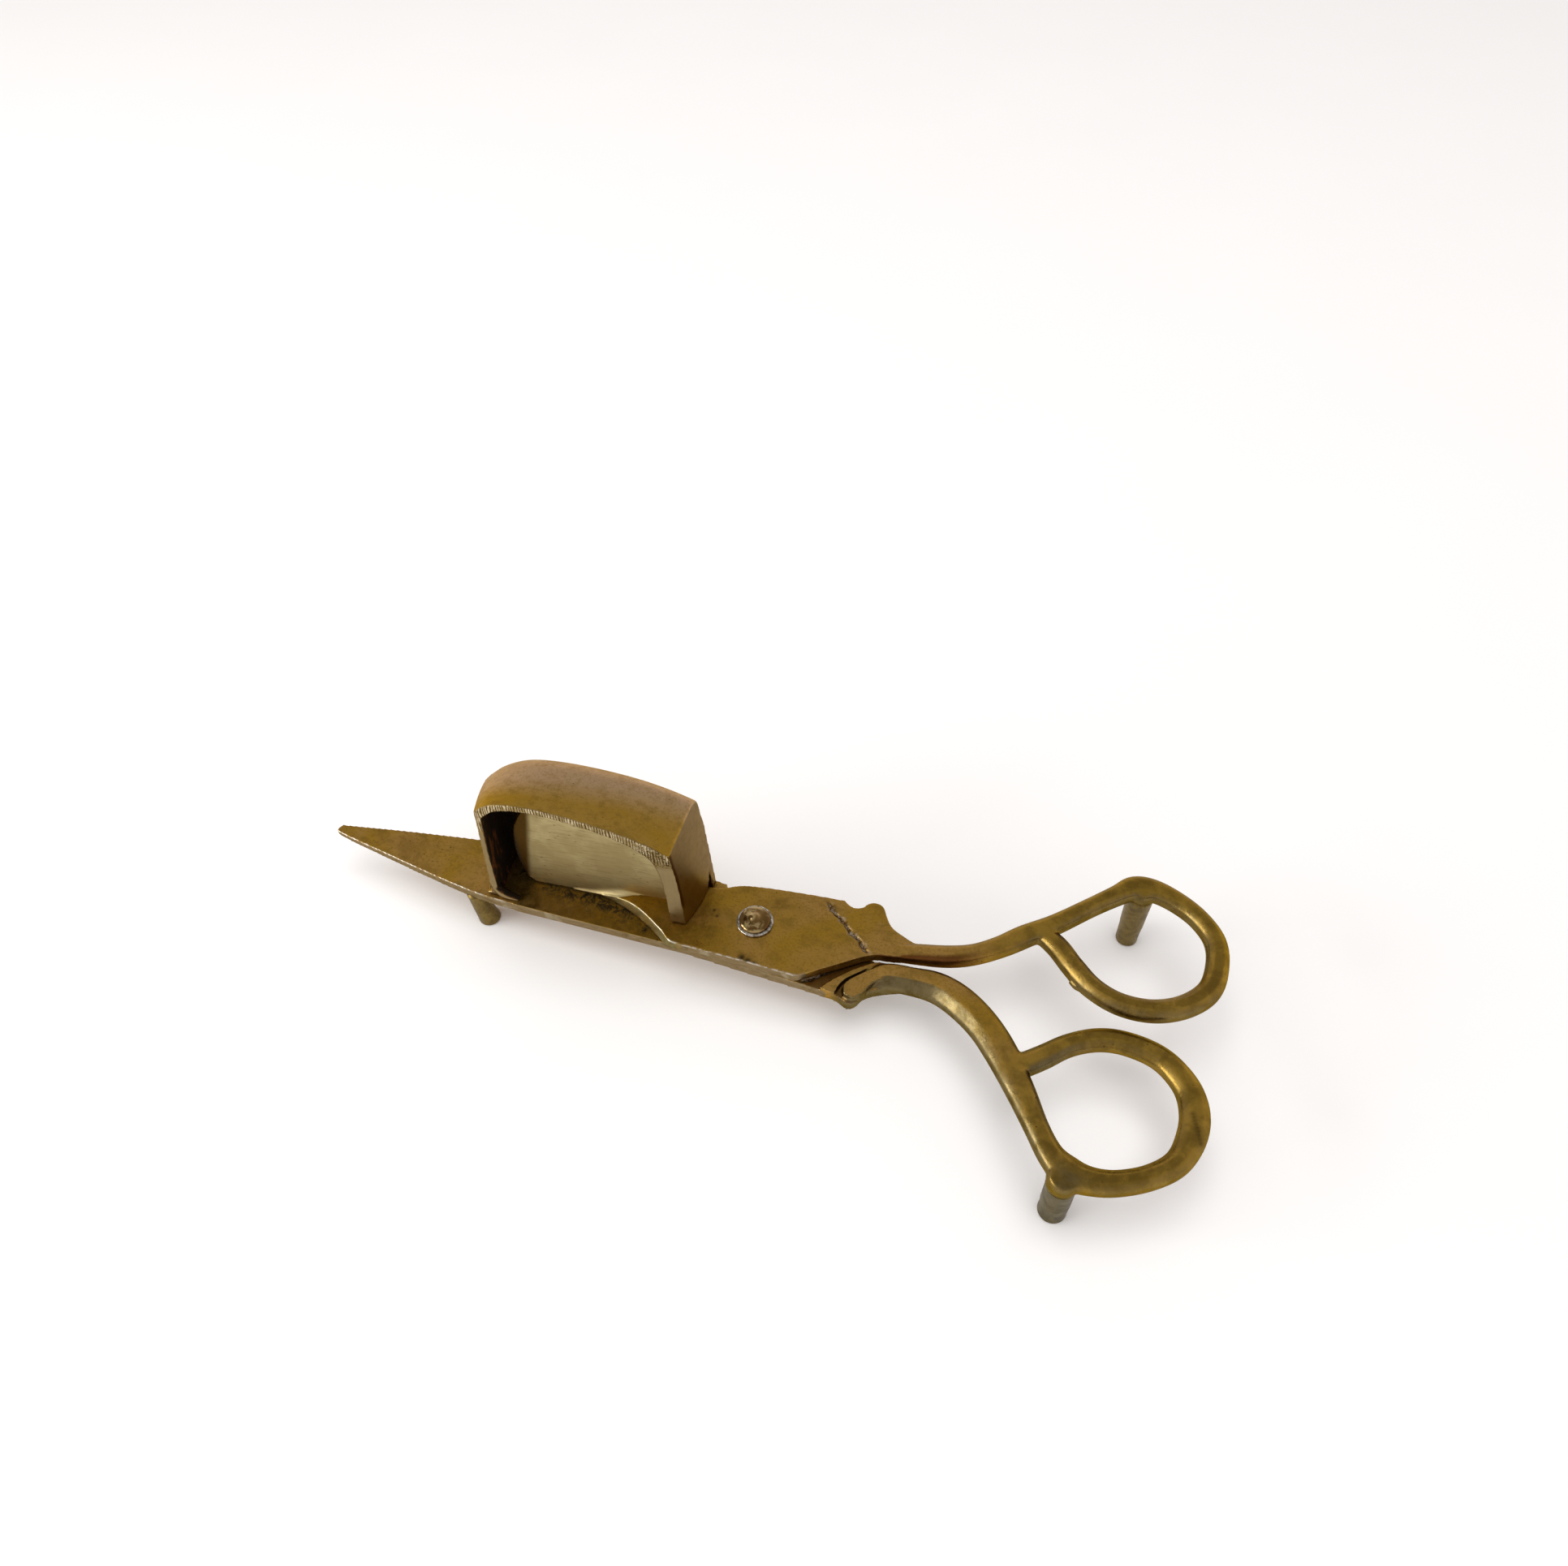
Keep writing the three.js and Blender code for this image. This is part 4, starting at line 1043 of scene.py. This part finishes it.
def add_pusher_plate():
    sheet = pusher_plate()
    x, y, z = coords(sheet).T
    edge, _ = edge_wear(sheet)
    stain = ramp(0.17 * (z - 16) - x, 43.4, 44.8)
    smoke = np.maximum(ramp(y - plate_front(x), 0.5, 1.5) * 0.8, ramp(-x, 44.6, 46.2))
    # painted reflection of the blade, low on the sheet's right
    golden = ramp(-z, -16.5, -13.0) * ramp(x, -27, -23)
    paint(sheet, edge=edge * (1 - golden) * (1 - stain), stain=stain, smoke=smoke, low=golden)
    finished(sheet, "pusher_side", "pusher_plate", brushed_sheet())


def add_feet():
    brass = dull_brass()
    peg = foot("nose_peg", *NOSE_FOOT, 11, NOSE_FOOT_FLAT_Y, NOSE_FOOT_LEAN)
    finished(peg, "box_side", "nose_foot", brass)
    peg = foot("box_arm_peg", *BOX_ARM_FOOT, 12)
    # painted shade on the box arm's foot
    paint(peg, dim=np.ones(len(peg.data.vertices)))
    finished(peg, "box_side", "box_arm_foot", brass)
    peg = foot("pusher_arm_peg", *PUSHER_ARM_FOOT, 13)
    finished(peg, "pusher_side", "pusher_arm_foot", brass)


def add_rivet():
    rivet = pivot_rivet()
    x, y, z = coords(rivet).T
    # painted highlight on the crown of the rivet's head
    paint(rivet, crown=spot(x, y, 0.1, 0.5, 1.0) * (z > 13))
    finished(rivet, "box_side", "pivot_rivet", rivet_brass())
    metal = pale_metal()
    low = UPPER_TOP + SEAT
    collar = washer("rivet_collar_ring", COLLAR_R, low, low + COLLAR_T, 21)
    finished(collar, "box_side", "rivet_collar", metal)
    low = LOWER_LOW - SEAT - BURR_T
    burr = washer("rivet_burr_ring", BURR_R, low, low + BURR_T, 22)
    finished(burr, "box_side", "rivet_burr", metal)


# ---- camera, floor and light ------------------------------------------------------------------------
def set_camera():
    data = bpy.data.cameras.new("camera")
    data.sensor_fit = "HORIZONTAL"
    data.sensor_width = 36
    data.lens = 28.32
    data.clip_start = 0.01
    cam = bpy.data.objects.new("camera", data)
    bpy.context.scene.collection.objects.link(cam)
    right = Vector((0.95588, 0.29298, -0.0212))
    up = Vector((-0.21189, 0.73769, 0.64103))
    back = Vector((0.20345, -0.60826, 0.76722))
    place = Vector((45.823 + PIVOT.x, -117.625 + PIVOT.y, 203.160)) * MM
    turn = Matrix((right, up, back)).transposed()
    cam.matrix_world = Matrix.Translation(place) @ turn.to_4x4()
    bpy.context.scene.camera = cam


def area_light(name, place, target, size, power, colour):
    data = bpy.data.lights.new(name, "AREA")
    data.shape = "RECTANGLE"
    data.size, data.size_y = size
    data.energy = power
    data.color = colour
    obj = bpy.data.objects.new(name, data)
    bpy.context.scene.collection.objects.link(obj)
    aim = Vector(target) - Vector(place)
    obj.location = place
    obj.rotation_euler = aim.to_track_quat("-Z", "Y").to_euler()
    return obj


def set_world():
    world = bpy.data.worlds.new("studio")
    world.use_nodes = True
    tree = world.node_tree
    back = tree.nodes["Background"]
    back.inputs["Strength"].default_value = 1.0
    place = tree.nodes.new("ShaderNodeTexCoord")
    split = tree.nodes.new("ShaderNodeSeparateXYZ")
    height = tree.nodes.new("ShaderNodeMapRange")
    height.inputs["From Min"].default_value = 0.05
    height.inputs["From Max"].default_value = 0.70
    shade = tree.nodes.new("ShaderNodeMix")
    shade.data_type = "RGBA"
    shade.inputs[6].default_value = (0.98, 0.90, 0.89, 1)
    shade.inputs[7].default_value = (0.53, 0.51, 0.50, 1)
    tree.links.new(place.outputs["Generated"], split.inputs[0])
    tree.links.new(split.outputs["Z"], height.inputs["Value"])
    tree.links.new(height.outputs[0], shade.inputs[0])
    tree.links.new(shade.outputs[2], back.inputs["Color"])
    bpy.context.scene.world = world


def set_floor():
    mesh = bpy.data.meshes.new("floor")
    r = 12.0
    mesh.from_pydata([(-r, -r, 0), (r, -r, 0), (r, r, 0), (-r, r, 0)], [], [(0, 1, 2, 3)])
    obj = bpy.data.objects.new("floor", mesh)
    bpy.context.scene.collection.objects.link(obj)
    n = Nodes("pale_floor")
    n.link(n.blend(n.noise(0.02, 2), (0.93, 0.93, 0.93), (0.91, 0.91, 0.91)), n.shader.inputs["Base Color"])
    n.shader.inputs["Roughness"].default_value = 0.9
    n.shader.inputs["Specular IOR Level"].default_value = 0.0
    mesh.materials.append(n.material)


arm_brass = aged_brass()
add_box_arm(arm_brass)
add_pusher_arm(arm_brass)
add_wick_box()
add_pusher_plate()
add_feet()
add_rivet()
set_camera()
set_world()
set_floor()
area_light("window_left", (-0.75, -0.40, 0.28), (0, 0, 0.02), (0.6, 0.35), 4.5, (1.0, 0.99, 0.97))
panel = area_light("overhead", (0.05, 0.0, 1.2), (0.05, 0, 0), (1.0, 1.0), 7.5, (1.0, 0.99, 0.98))
panel.visible_glossy = False

view = bpy.context.scene.view_settings
view.view_transform = "Standard"
view.look = "None"
